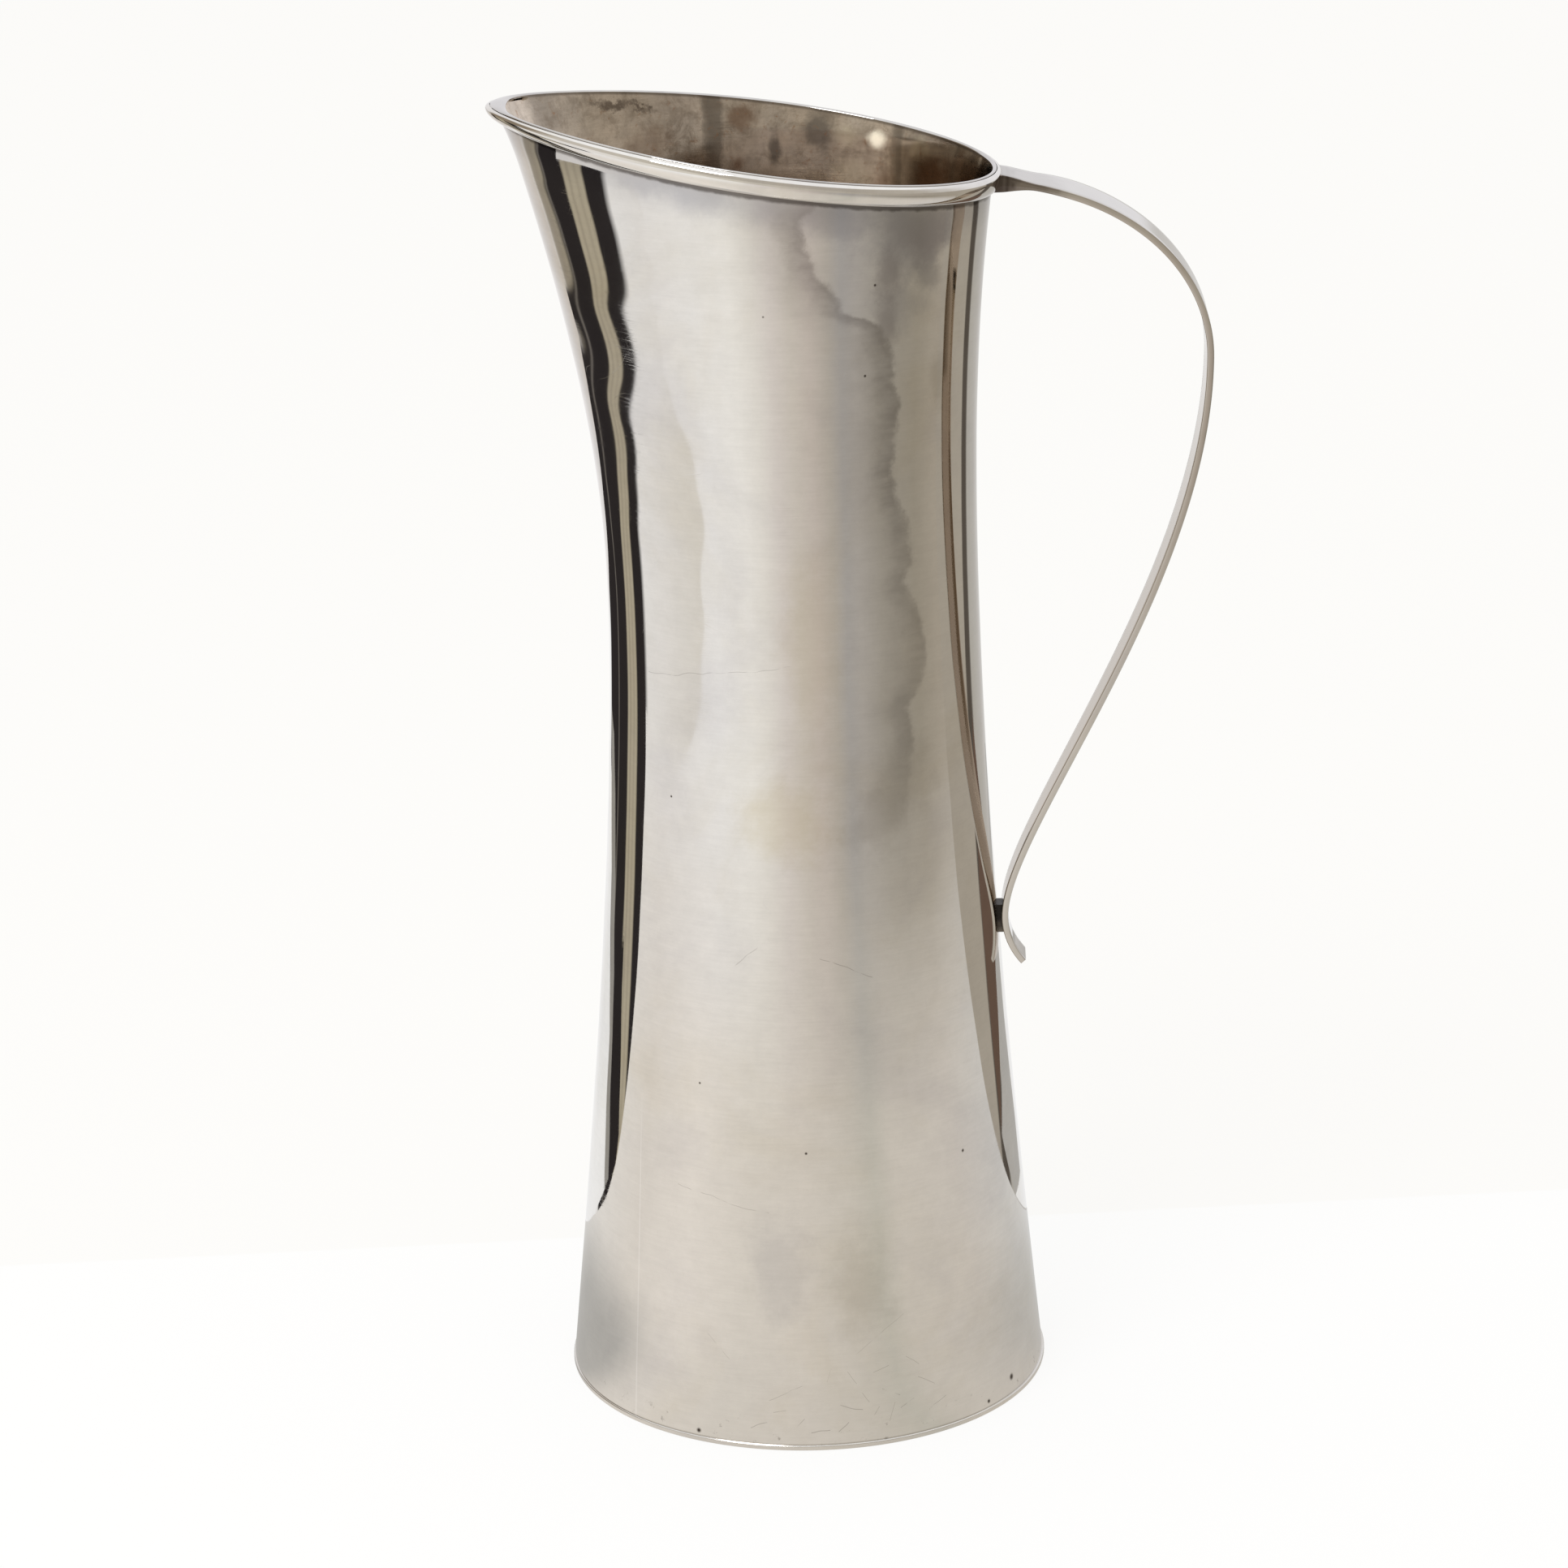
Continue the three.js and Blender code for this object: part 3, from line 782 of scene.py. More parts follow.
# Soft clouds on the outside of the body: centre and reach in millimetres, colour and strength.
LILAC, GREY_BROWN, YELLOWISH = (0.52, 0.51, 0.53), (0.52, 0.49, 0.44), (0.72, 0.65, 0.49)
DARK_LILAC, DARK_BROWN = (0.40, 0.38, 0.40), (0.40, 0.37, 0.37)
OUTSIDE_CLOUDS = [
    ((28, -34, 275), (17, 14, 13), LILAC, 0.85), ((32, -30, 276), (11, 11, 9), DARK_LILAC, 0.85),
    ((23.7, -34.1, 260.3), (10, 10, 8), LILAC, 0.5), ((31, -29, 266), (7, 7, 5), (0.40, 0.39, 0.40), 0.55),
    ((-30.2, -38.4, 290.7), (11, 11, 6), LILAC, 0.6), ((-18.1, -42.5, 287.4), (12, 11, 7), LILAC, 0.65),
    ((-0.8, -44.1, 284.5), (14, 11, 7), LILAC, 0.6), ((12, -42, 281), (12, 11, 7), LILAC, 0.5),
    ((24.8, -35, 278), (7, 7, 8), (0.42, 0.40, 0.41), 0.6), ((22.3, -35.8, 268), (5, 5, 9), DARK_BROWN, 0.6),
    ((21.5, -35.4, 257), (4.5, 5, 9), DARK_BROWN, 0.55), ((32.5, -25.1, 243.8), (4, 4, 8), GREY_BROWN, 0.5),
    ((24.5, -34.9, 154), (11, 11, 13), GREY_BROWN, 0.3),
    ((18.1, -39.1, 145.7), (13, 11, 10), GREY_BROWN, 0.4),
    ((-1, -43, 147), (15, 11, 13), YELLOWISH, 0.45), ((5, -41, 186), (10, 10, 26), YELLOWISH, 0.3),
    ((13.3, -50, 39), (11, 9, 16), GREY_BROWN, 0.35), ((-4.8, -51, 43.6), (10, 9, 16), LILAC, 0.3),
    ((-30, 30, 240), (18, 20, 26), LILAC, 0.45), ((18, 40, 120), (14, 20, 40), GREY_BROWN, 0.40),
    ((-20, 45, 60), (20, 15, 22), YELLOWISH, 0.45),
]
# Dark pits on the outside of the body: place and size in millimetres.
OUTSIDE_PITS = [
    ((-4.8, -41.9, 260.3), 0.4), ((16.8, -37.1, 246.1), 0.45), ((19.2, -37.2, 266), 0.45),
    ((-27.6, -33.1, 149.7), 0.4), ((1.6, -48.7, 70.1), 0.45), ((36.9, -32.8, 64.1), 0.6),
    ((-24, -50, 2.4), 0.8), ((47.9, -27.4, 5), 1.1), ((-22.3, -42, 84.6), 0.4), ((42.5, -35.5, 2.6), 0.7),
]
# The edge of the old drip that ran down from the rim: heights in millimetres, then degrees round the jug.
DRIP_EDGE = [
    (140, 303.9), (149, 305.1), (157.6, 306.2), (165, 307.9), (170, 305.1), (172, 307.7), (177, 312.8),
    (184, 314.2), (190, 311.9), (195, 308.3), (199, 305.5), (203, 310.0), (213, 307.1), (217, 304.4),
    (224, 302.0), (230.6, 303.9), (235, 304.0), (238.5, 306.3), (240, 305.0), (243.5, 302.1), (248, 303.8),
    (252, 301.4), (256.5, 298.9), (258.5, 292.7), (260.7, 285.6), (263.3, 284.5), (267, 281.3), (270, 277.8),
    (274.6, 275.5), (279, 273.6), (282, 274.0), (285, 280.1),
]
DRIP_FOOT, DRIP_TALL = 140.0, 145.0
DRIP_HAZE, DRIP_HATCHING, DRIP_LINE = (0.42, 0.395, 0.37), (0.34, 0.315, 0.305), (0.27, 0.25, 0.23)
# Fine scratches: degrees round the jug and heights in millimetres of both ends, half width, strength.
OUTSIDE_SCRATCHES = [
    (220.0, 276.3, 177, 183, 0.09, 0.45), (252.1, 260.6, 113, 119, 0.10, 0.5),
    (276.7, 291.8, 115, 110, 0.10, 0.5), (236.0, 262.0, 60, 56, 0.08, 0.4),
    (279.0, 284.5, 10.5, 8.5, 0.10, 0.6), (286.0, 288.6, 5.2, 8.8, 0.12, 0.6),
    (289.5, 294.0, 13.0, 11.2, 0.09, 0.55), (291.0, 292.6, 5.0, 9.5, 0.14, 0.6),
    (299.0, 303.5, 14.5, 12.0, 0.09, 0.5), (283.0, 296.0, 22, 30, 0.07, 0.4),
    (262.0, 270.0, 12, 15, 0.07, 0.4), (246.0, 252.0, 26, 21, 0.07, 0.4),
    (263.0, 266.5, 9.0, 9.8, 0.09, 0.5), (268.5, 270.5, 5.6, 7.4, 0.09, 0.55),
    (272.0, 276.5, 4.2, 4.6, 0.10, 0.6), (276.0, 277.2, 16, 20, 0.10, 0.5),
    (281.0, 283.2, 18, 15, 0.09, 0.5), (287.5, 291.5, 17, 18.5, 0.09, 0.45),
    (294.0, 297.5, 7.8, 9.6, 0.09, 0.55), (257.5, 261.5, 4.8, 6.2, 0.09, 0.5),
    (296.0, 299.5, 20, 17.5, 0.08, 0.45), (302.0, 306.5, 6.6, 8.2, 0.09, 0.5),
    (278.5, 281.0, 4.0, 6.0, 0.11, 0.6), (284.5, 286.2, 12.5, 10.0, 0.10, 0.55),
    (70.0, 130.0, 150, 158, 0.09, 0.45), (120.0, 150.0, 90, 84, 0.09, 0.45),
]
# The faint seam: its degrees round the jug at the table, and how many more for each millimetre up.
SEAM_TURN, SEAM_SLANT = 225.42, -0.0505
SCRATCH_GREY, SEAM_WHITE, WIRE_HALO = (0.40, 0.38, 0.36), (0.96, 0.95, 0.94), (0.47, 0.46, 0.47)
FOOT_BROWN, SCUFF_GREY = (0.20, 0.16, 0.11), (0.30, 0.28, 0.26)


def add_drip(silver, turn, high):
    """The old drip: a dull haze that ends at a ragged edge. Gives the haze."""
    stops = [((z - DRIP_FOOT) / DRIP_TALL, degrees / 360) for z, degrees in DRIP_EDGE]
    edge = ramp((high - DRIP_FOOT) / DRIP_TALL, stops) * 360.0
    ragged = (silver.noise(0.004, 5.0, 0.65) - 0.5) * 7.0
    past = turn - edge - ragged
    on_height = rise(high, 138.0, 165.0) * (rise(high, 190.0, 228.0) * 0.4 + 0.6)
    patchy = silver.noise(0.012, 6.0, 0.65) * 1.1 - 0.05
    haze = rise(past, -24.0, -1.0) * rise(past, 2.2, -0.6)
    haze = haze.sum("MULTIPLY", patchy, clamp=True) * (on_height * 0.75)
    silver.lay(DRIP_HAZE, haze)
    hatched = noise_at(move("MULTIPLY", silver.place, (0.25, 0.25, 1.0)), 0.0018, 3.0, 0.6)
    close = rise(past, -9.0, -1.5) * rise(past, 3.0, -0.5)
    silver.lay(DRIP_HATCHING, close * hatched * (on_height * 0.8))
    broken = rise(silver.noise(0.010, 3.0), 0.40, 0.66)
    silver.lay(DRIP_LINE, rise(abs(past), 2.2, 0.2) * broken * (on_height * 0.20))
    return haze


def make_outside_silver(finish):
    """The outside of the body: polished, clouded, rubbed, with an old drip and a dark joint under the rim."""
    silver = Silver("body_outside_silver", finish, finish.body_silver, 0.4, 0.045, 0.6, LEVEL_RUBBING)
    where = silver.effect("Round the jug", {})
    turn, high = where["Turn"], where["Height"]
    silver.lay_stains(OUTSIDE_CLOUDS, 1.3)
    haze = add_drip(silver, turn, high)
    silver.roughen(haze * 0.06)
    for start, end, low, top, width, strength in OUTSIDE_SCRATCHES:
        scratch = silver.effect("Scratch", {
            "Turn": turn, "Height": high, "From turn": start, "To turn": end, "From height": low,
            "To height": top, "Width": width})
        silver.lay(SCRATCH_GREY, scratch["Mask"] * strength)
    seam = high * SEAM_SLANT + SEAM_TURN
    on_seam = rise(abs(turn - seam), 0.34, 0.10) * rise(high, 82.0, 55.0)
    silver.lay(SEAM_WHITE, on_seam * 0.45)
    for pit, size in OUTSIDE_PITS:
        silver.lay(finish.black_tarnish, silver.stain(pit, [size] * 3, 0.3))
    wavy = silver.mark("under_wire") + silver.noise(0.004, 3.0) * -0.0012
    halo = rise(wavy, 0.009, 0.0) * silver.noise(0.012, 4.0)
    silver.lay(WIRE_HALO, halo * 0.9)
    joint = rise(wavy, 0.0007, -0.0001) * rise(wavy, -0.0016, -0.0010)
    silver.lay(finish.black_tarnish, joint * 0.75)
    silver.lay(FOOT_BROWN, rise(high, 1.6, 1.3) * 0.3)
    scuffs = rise(silver.noise(0.0022, 4.0, 0.7), 0.62, 0.70) * rise(high, 9.0, 1.5)
    silver.lay(SCUFF_GREY, scuffs * 0.6)
    silver.roughen(scuffs * 0.15)
    return silver.finished(0.05)


# How light the inside of the body is, by degrees round the jug; its narrow dark dips are painted reflections
# of dark stands in the room, drawn as upright bars.
INSIDE_STAND_REFLECTION_BARS = [
    (0, 0.42), (24, 0.46), (40, 0.52), (50, 0.62), (53.6, 0.66), (54.2, 0.40), (57.4, 0.42), (58.4, 0.92),
    (70, 0.94), (76.6, 0.98), (77.4, 0.84), (86, 0.88), (98, 0.90), (109, 0.84), (111.2, 0.78), (112, 0.44),
    (116.2, 0.40), (117.2, 0.72), (118, 0.98), (121, 0.92), (122, 0.84), (148, 0.86), (158, 0.82),
    (163, 0.62), (166, 0.66), (168, 1.0), (186, 0.98), (205, 0.80), (300, 0.66), (359, 0.42),
]
# Blotches inside the body, two of them painted reflections of dark stands in the room: place and reach in
# millimetres, colour and strength.
STAND_REFLECTION_DARK, RUSTY, PALE = (0.17, 0.15, 0.135), (0.20, 0.105, 0.055), (0.80, 0.74, 0.58)
INSIDE_BLOTCHES = [
    ((-4.5, 42.5, 280.5), (2.0, 4, 6.5), STAND_REFLECTION_DARK, 0.85), ((5.6, 42.3, 285.0), (4.2, 5, 5.5), STAND_REFLECTION_DARK, 0.75),
    ((-12.5, 42.2, 288.5), (5, 5, 4), RUSTY, 0.6), ((-13, 41.1, 277.5), (2.6, 5, 3), RUSTY, 0.7),
    ((12.5, 40.5, 284.0), (5, 5, 4.5), PALE, 0.45), ((13.1, 39.6, 275.5), (8, 6, 5), PALE, 0.40),
    ((29, 31.1, 282.2), (4, 4, 3.5), PALE, 0.35), ((31.7, 27.9, 276.5), (7, 7, 6), RUSTY, 0.75),
    ((39, 18, 277), (6, 8, 7), RUSTY, 0.6), ((20.5, 36.5, 274), (5, 5, 5), RUSTY, 0.45),
    ((-33, 34, 284), (12, 8, 7), RUSTY, 0.35), ((-24, 38, 276), (8, 6, 8), RUSTY, 0.45),
    ((-48, 22, 282), (12, 8, 10), RUSTY, 0.25),
]
STREAK_BROWN, MOTTLE_BROWN, TIDE_BROWN = (0.26, 0.215, 0.175), (0.25, 0.195, 0.145), (0.12, 0.09, 0.07)
# A painted highlight inside: the place, reach and pale colour of a spot that stands for a lamp's glint, and
# the glow it gives.
GLINT_PLACE, GLINT_REACH, PAINTED_GLINT_SILVER = (18.8, 37.8, 283.6), (3.4, 4.0, 2.8), (0.97, 0.93, 0.82)
NO_GLINT, PAINTED_GLINT_GLOW = (0.0, 0.0, 0.0, 1.0), (0.80, 0.74, 0.60, 1.0)


def make_inside_silver(finish):
    """The inside of the body: mottled brown-grey tarnish, a tide line and rusty spots, with painted
    reflections of dark stands as upright bars, painted shade under the lip and a painted glint that glows.
    """
    silver = Silver("body_inside_silver", finish, finish.inside_silver, 0.25, 0.02, 0.6, LEVEL_RUBBING, 0.45)
    turn = silver.effect("Round the jug", {})["Turn"]
    sway = (silver.noise(0.006, 6.0, 0.7) - 0.5) * 6.0
    # Painted reflections: dark upright bars by degrees round the jug, for dark stands in the room.
    silver.dim(ramp((turn + sway) / 360.0, [(degrees / 360, light) for degrees, light in INSIDE_STAND_REFLECTION_BARS]))
    upright = move("MULTIPLY", silver.place, (1.0, 1.0, 0.3))
    streaks = rise(noise_at(upright, 0.0035, 6.0, 0.7), 0.47, 0.66)
    silver.lay(STREAK_BROWN, streaks * 0.30)
    mottle = rise(silver.noise(0.006, 8.0, 0.75, 0.6), 0.46, 0.66)
    silver.lay(MOTTLE_BROWN, mottle * 0.45)
    silver.lay_stains(INSIDE_BLOTCHES, 2.2)
    spots = rise(silver.noise(0.0022, 5.0, 0.75, 0.8), 0.58, 0.70)
    silver.lay(finish.rust, spots * 0.6)
    under = silver.mark("under_rim")
    tide = under + silver.noise(0.007, 8.0, 0.72) * -0.013
    line = rise(tide, -0.0042, -0.0032) * rise(tide, -0.0012, -0.0028)
    wet = rise(turn, 126.0, 132.0) * rise(turn, 156.0, 149.0)
    broken = rise(silver.noise(0.004, 4.0), 0.36, 0.62)
    silver.lay(TIDE_BROWN, line * wet * broken * 0.8)
    # Painted highlight: a pale spot with its own glow that stands for a lamp's glint on the far inner wall.
    rubbed = silver.stain(GLINT_PLACE, GLINT_REACH, 1.5)
    silver.lay(PAINTED_GLINT_SILVER, rubbed)
    silver.tree.links.new(blend(NO_GLINT, PAINTED_GLINT_GLOW, rubbed).socket, silver.shader.inputs["Emission Color"])
    silver.shader.inputs["Emission Strength"].default_value = 0.6
    # Painted shade: a dark line just under the inner edge of the lip, where the lip's underside is in shadow,
    # laid in the black tarnish colour.
    silver.lay(finish.black_tarnish, rise(under, 0.0012, 0.0006) * 0.6)
    silver.roughen(mottle * 0.10)
    silver.roughen(0.07)
    return silver.finished(0.35)


def make_rim_silver(finish):
    """The rim wire: bright where hands and cloths rub it, dark in its solder line."""
    silver = Silver("rim_wire_silver", finish, finish.rim_silver, 0.35, 0.02, 0.5, (300.0, 300.0, 900.0))
    wavy = silver.mark("under_wire") + silver.noise(0.003, 3.0) * 0.0003
    silver.lay(finish.black_tarnish, rise(wavy, -0.0001, 0.0002) * 0.85)
    return silver.finished(0.08)


STRAP_FILM, STRAP_SIDE, STRAP_INNER_TARNISH_AND_SHADE = (0.66, 0.645, 0.625), (0.40, 0.34, 0.26), (0.30, 0.22, 0.145)
ROOT_BROWN, ROOT_RING = (0.17, 0.14, 0.115), 0.0014
PAD_SOLDER_AND_SHADE_BROWN, PAD_TARNISH_AND_SHADOW_BLACK = (0.16, 0.13, 0.10), (0.02, 0.017, 0.015)


def make_handle_silver(finish):
    """The handle: lilac-grey faces with fine scratches, browner sides, an inner face darkened brown by
    tarnish and painted shade, and dark tarnish at its root by the body.
    """
    silver = Silver("handle_silver", finish, finish.handle_silver, 0.5, 0.03, 0.7, (900.0, 120.0, 900.0))
    along, side, inner = (silver.mark(name) for name in ("along_strap", "strap_side", "strap_inner"))
    silver.lay(STRAP_FILM, silver.noise(0.02, 4.0) * 0.5 + 0.35)
    patchy = silver.noise(0.012, 4.0) * 0.6 + 0.35
    upper = rise(along, 0.150, 0.090) * 0.6 + 0.12
    silver.lay(STRAP_SIDE, side * patchy * upper)
    # Partly painted shade: the inner face, which faces the body, is darkened brown, as it lies in shade and
    # looks dark where the body mirrors it.
    silver.lay(STRAP_INNER_TARNISH_AND_SHADE, inner * (rise(along, 0.165, 0.105) * 0.06 + 0.84))
    flank = side.sum("MAXIMUM", inner) * 0.75 + 0.25
    wavy = along + silver.noise(0.003, 4.0) * 0.006
    silver.lay(ROOT_BROWN, rise(wavy, 0.022, 0.013) * (flank * 0.85))
    rings = (along * (2 * math.pi / ROOT_RING)).sum("SINE")
    root = rise(wavy, 0.0095, 0.0060) * (flank * (rings * 0.12 + 0.85))
    silver.lay(finish.black_tarnish, root)
    silver.roughen(inner * 0.06)
    return silver.finished(0.25)


def make_pad_silver(finish):
    """The pad: dark solder and tarnish with painted shade, as it sits back in shadow between strap and body;
    black at its top, browner at its foot.
    """
    silver = Silver("pad_silver", finish, finish.pad_silver, 0.3, 0.004, 0.6, (900.0, 900.0, 900.0),
                    metallic=0.2)
    silver.shader.inputs["Specular IOR Level"].default_value = 0.12
    wavy = parts(silver.place)["Z"] + silver.noise(0.002, 4.0) * 0.004
    # Partly painted shade: the whole pad is darkened brown, and its top is black in the crevice under the
    # strap.
    silver.lay(PAD_SOLDER_AND_SHADE_BROWN, 0.75)
    silver.lay(PAD_TARNISH_AND_SHADOW_BLACK, rise(wavy, 0.1085, 0.1115) * 0.9)
    silver.roughen(0.25)
    return silver.finished(0.6)


def make_base_silver(finish):
    """The base plate: a bright rubbed edge, scuffed below and tarnished where the jug holds water."""
    silver = Silver("base_plate_silver", finish, finish.base_silver, 0.4, 0.03, 0.8, (700.0, 700.0, 700.0))
    spot = parts(silver.place)
    flat = signal(silver.tree, "ShaderNodeCombineXYZ", 0, {"X": spot["X"], "Y": spot["Y"]})
    above = rise(spot["Z"], 0.0008, 0.0011) * rise(far_out(flat), 0.0552, 0.0545)
    blotch = rise(silver.noise(0.012, 6.0, 0.65, 0.8), 0.35, 0.7)
    silver.lay(finish.inside_silver, above * (blotch * 0.5 + 0.4))
    below = rise(spot["Z"], 0.0003, 0.0001) * 0.3
    silver.roughen(above.sum("MAXIMUM", below) * 0.25)
    silver.roughen(0.14)
    return silver.finished(0.4)


# Operators, one for each piece and one for the stage

BODY_RINGS, BODY_CROWDING, LIP_STEPS, LEDGE_TAPER = 150, 1.35, 9, 36
PLATE_RINGS, PLATE_MIDDLE = 14, 0.004
WIRE_STEPS = 19
ROOT_CLEARANCE, ROOT_TUCK, ROOT_RINGS, STRAP_RINGS = 0.0023, 0.0009, 24, 170
PAD_RINGS, PAD_COLUMNS, PAD_FROM, PAD_TO = 18, 12, 0.28, -0.42
VISIBLE_FILM = 0.02 * MM


class JUG_OT_effects(bpy.types.Operator):
    """Make the shared effects that the silver finishes use"""

    bl_idname = "jug.effects"
    bl_label = "Silver Effects"

    def execute(self, context):
        for make_group in (make_tarnish_group, make_hairline_group, make_pit_group, make_stain_group,
                           make_grain_group, make_round_group, make_scratch_group):
            make_group()
        return {"FINISHED"}


class JUG_OT_body(bpy.types.Operator):
    """Build the waisted body with its spout and rounded lip"""

    bl_idname = "jug.body"
    bl_label = "Body"

    def execute(self, context):
        s = context.scene.jug_sizes
        shape = JugShape(s)
        turn = shape.round[None, :]
        rim = shape.rim_height(turn)
        shoulder = rim - s.lip_round
        share = 1 - (1 - np.linspace(0, 1, BODY_RINGS)) ** BODY_CROWDING
        height = shape.foot + (shoulder - shape.foot) * share[:, None]
        wave = shape.waves(np.repeat(turn, BODY_RINGS, 0), height)
        ledge = s.spout_ledge * shape.to_spout(turn) ** LEDGE_TAPER
        near_top = 1 - smoothstep(rim - height, 0.0005, 0.0014)
        inside = shape.wall(turn, height, wave - s.wall - ledge * near_top)
        outside = shape.wall(turn, height, wave)[::-1]
        over = np.linspace(0, math.pi, LIP_STEPS)[1:-1, None]
        crown = shape.wall(turn, shoulder + s.lip_round * np.sin(over),
                           -(s.wall + ledge) * (1 + np.cos(over)) / 2)
        rings = np.concatenate([inside, crown, outside])
        points, faces = skin(rings, closed=True)
        finish = context.scene.jug_finish
        piece = add_piece("jug_body", points, faces, "body_shell",
                          [make_outside_silver(finish), make_inside_silver(finish)])
        lining = BODY_RINGS * s.round_steps
        for face in piece.data.polygons:
            face.material_index = 1 if max(face.vertices) < lining else 0
        mark_points(piece, "under_wire", shape.under_wire(turn, rings[..., 2]))
        mark_points(piece, "under_rim", rim - rings[..., 2])
        return {"FINISHED"}


class JUG_OT_base_plate(bpy.types.Operator):
    """Build the flat plate that closes the body"""

    bl_idname = "jug.base_plate"
    bl_label = "Base Plate"

    def execute(self, context):
        s = context.scene.jug_sizes
        edge, top = s.plate_edge, s.plate_thickness
        flat = s.base_radius + s.plate_overhang - edge
        bend = np.linspace(0, math.pi / 2, 5)
        profile = [(r, 0.0) for r in np.linspace(PLATE_MIDDLE, flat, PLATE_RINGS)[:-1]]
        profile += [(flat + edge * math.sin(b), edge - edge * math.cos(b)) for b in bend]
        profile += [(flat + edge * math.cos(b), top - edge + edge * math.sin(b)) for b in bend]
        profile += [(r, top) for r in np.linspace(flat, PLATE_MIDDLE, PLATE_RINGS)[1:]]
        turn = JugShape(s).round
        rings = np.array([[(r * math.cos(a), r * math.sin(a), z) for a in turn] for r, z in profile])
        points, faces = skin(rings, closed=False)
        faces.append(tuple(range(len(turn))))
        faces.append(tuple(range(len(points) - len(turn), len(points))))
        add_piece("jug_base_plate", points, faces, "base_plate",
                  [make_base_silver(context.scene.jug_finish)])
        return {"FINISHED"}


class JUG_OT_rim_wire(bpy.types.Operator):
    """Build the half-oval wire round the lip"""

    bl_idname = "jug.rim_wire"
    bl_label = "Rim Wire"

    def execute(self, context):
        s = context.scene.jug_sizes
        shape = JugShape(s)
        turn = shape.round[None, :]
        down = (1 + np.cos(np.linspace(0, math.pi, WIRE_STEPS)[:, None])) / 2
        depth = shape.wire_tall(turn) * down
        height = shape.rim_height(turn) - s.lip_round - depth
        flat = shape.wall(turn, height, s.solder_film)
        rounded = shape.wall(turn, height, s.solder_film + shape.wire_bulge(turn, depth))[1:-1][::-1]
        rings = np.concatenate([flat, rounded])
        points, faces = skin(rings, closed=True)
        piece = add_piece("jug_rim_wire", points, faces, "rim_wire",
                          [make_rim_silver(context.scene.jug_finish)], sharp=50.0)
        mark_points(piece, "under_wire", shape.under_wire(turn, rings[..., 2]))
        return {"FINISHED"}


class JUG_OT_handle(bpy.types.Operator):
    """Build the strap handle from its root on the rim wire to its curled tail"""

    bl_idname = "jug.handle"
    bl_label = "Handle"

    def section(self, s, width, thickness):
        """The strap's outline: across the strap and outwards, with rounded edges."""
        edge = s.strap_edge
        bend = np.linspace(0, math.pi / 2, 4)
        across, out = width / 2 - edge, thickness / 2 - edge
        quarter = [(across + edge * math.cos(b), out + edge * math.sin(b)) for b in bend]
        span = [(a, thickness / 2) for a in np.linspace(across, -across, 8)[1:-1]]
        left = [(-a, o) for a, o in reversed(quarter)]
        top = quarter + span + left
        return top + [(a, -o) for a, o in reversed(top)]

    def execute(self, context):
        s = context.scene.jug_sizes
        shape = JugShape(s)
        total = shape.path_distance[-1]
        near = ROOT_CLEARANCE + np.linspace(0, 1, ROOT_RINGS) ** 1.3 * (s.loop_start - ROOT_CLEARANCE)
        rest = np.linspace(s.loop_start, total, STRAP_RINGS)[1:]
        rings, along, side, inner = [], [], [], []
        for distance in [ROOT_CLEARANCE - ROOT_TUCK, *near, *rest]:
            centre, outwards = shape.strap_frame(min(distance, total - SMALL_STEP))
            width, thickness = shape.strap_size(distance)
            outline = self.section(s, width, thickness)
            rings.append([(centre[0] + outwards[0] * o, a, centre[1] + outwards[1] * o) for a, o in outline])
            along.append([distance] * len(outline))
            side.append([float(abs(a) > width / 2 - s.strap_edge * 0.6) for a, o in outline])
            inner.append([float(o < -thickness / 2 + s.strap_edge * 0.4) for a, o in outline])
        rings = np.array(rings)
        rings[0, :, 0] = shape.wire_face(rings[0, :, 1], rings[0, :, 2], VISIBLE_FILM)
        points, faces = capped_skin(rings)
        piece = add_piece("jug_handle", points, faces, "handle_strap",
                          [make_handle_silver(context.scene.jug_finish)], sharp=50.0)
        mark_points(piece, "along_strap", along)
        mark_points(piece, "strap_side", side)
        mark_points(piece, "strap_inner", inner)
        return {"FINISHED"}


class JUG_OT_handle_pad(bpy.types.Operator):
    """Build the small dark pad at the lower joint"""

    bl_idname = "jug.handle_pad"
    bl_label = "Handle Pad"

    def execute(self, context):
        s = context.scene.jug_sizes
        shape = JugShape(s)
        rings = []
        middle = shape.contact_distance + s.pad_drop
        for distance in middle + np.linspace(PAD_FROM, PAD_TO, PAD_RINGS) * s.pad_height:
            centre, outwards = shape.strap_frame(distance)
            x, z = centre - outwards * (s.strap_thickness / 2 + VISIBLE_FILM)
            across = np.linspace(0.5, -0.5, PAD_COLUMNS) * s.pad_width
            body = shape.wall(np.arcsin(across / float(shape.side_radius(z))), z, VISIBLE_FILM)
            strap = np.stack([np.full(PAD_COLUMNS, x), body[:, 1], np.full(PAD_COLUMNS, z)], -1)[::-1]
            rings.append(np.concatenate([strap, body]))
        points, faces = capped_skin(np.array(rings))
        add_piece("jug_handle_pad", points, faces, "handle_pad",
                  [make_pad_silver(context.scene.jug_finish)])
        return {"FINISHED"}


# Heights in millimetres at which the flat sheets of the stage lie, so that none hides in another
FLOOR_LIFT, TABLE_LIFT = 0.05, 0.1
FLOOR_REACH = 4000
# The faint line between table and backdrop: its slant, and where it starts and ends in metres behind the axis
HORIZON_SLANT, HORIZON = 0.113, (0.0715, 0.0735)
# The lamp: its power in watts, and in metres its sides, its place and what it aims at
LAMP_POWER, LAMP_SIDES = 6.0, (0.7, 0.5)
LAMP_PLACE, LAMP_AIM = (-0.55, -0.85, 1.3), Vector((0, 0, 0.15))
# The camera: the width of its film in millimetres, and the nearest that it sees in metres
FILM_WIDTH, NEAREST_SEEN = 36.0, 0.01


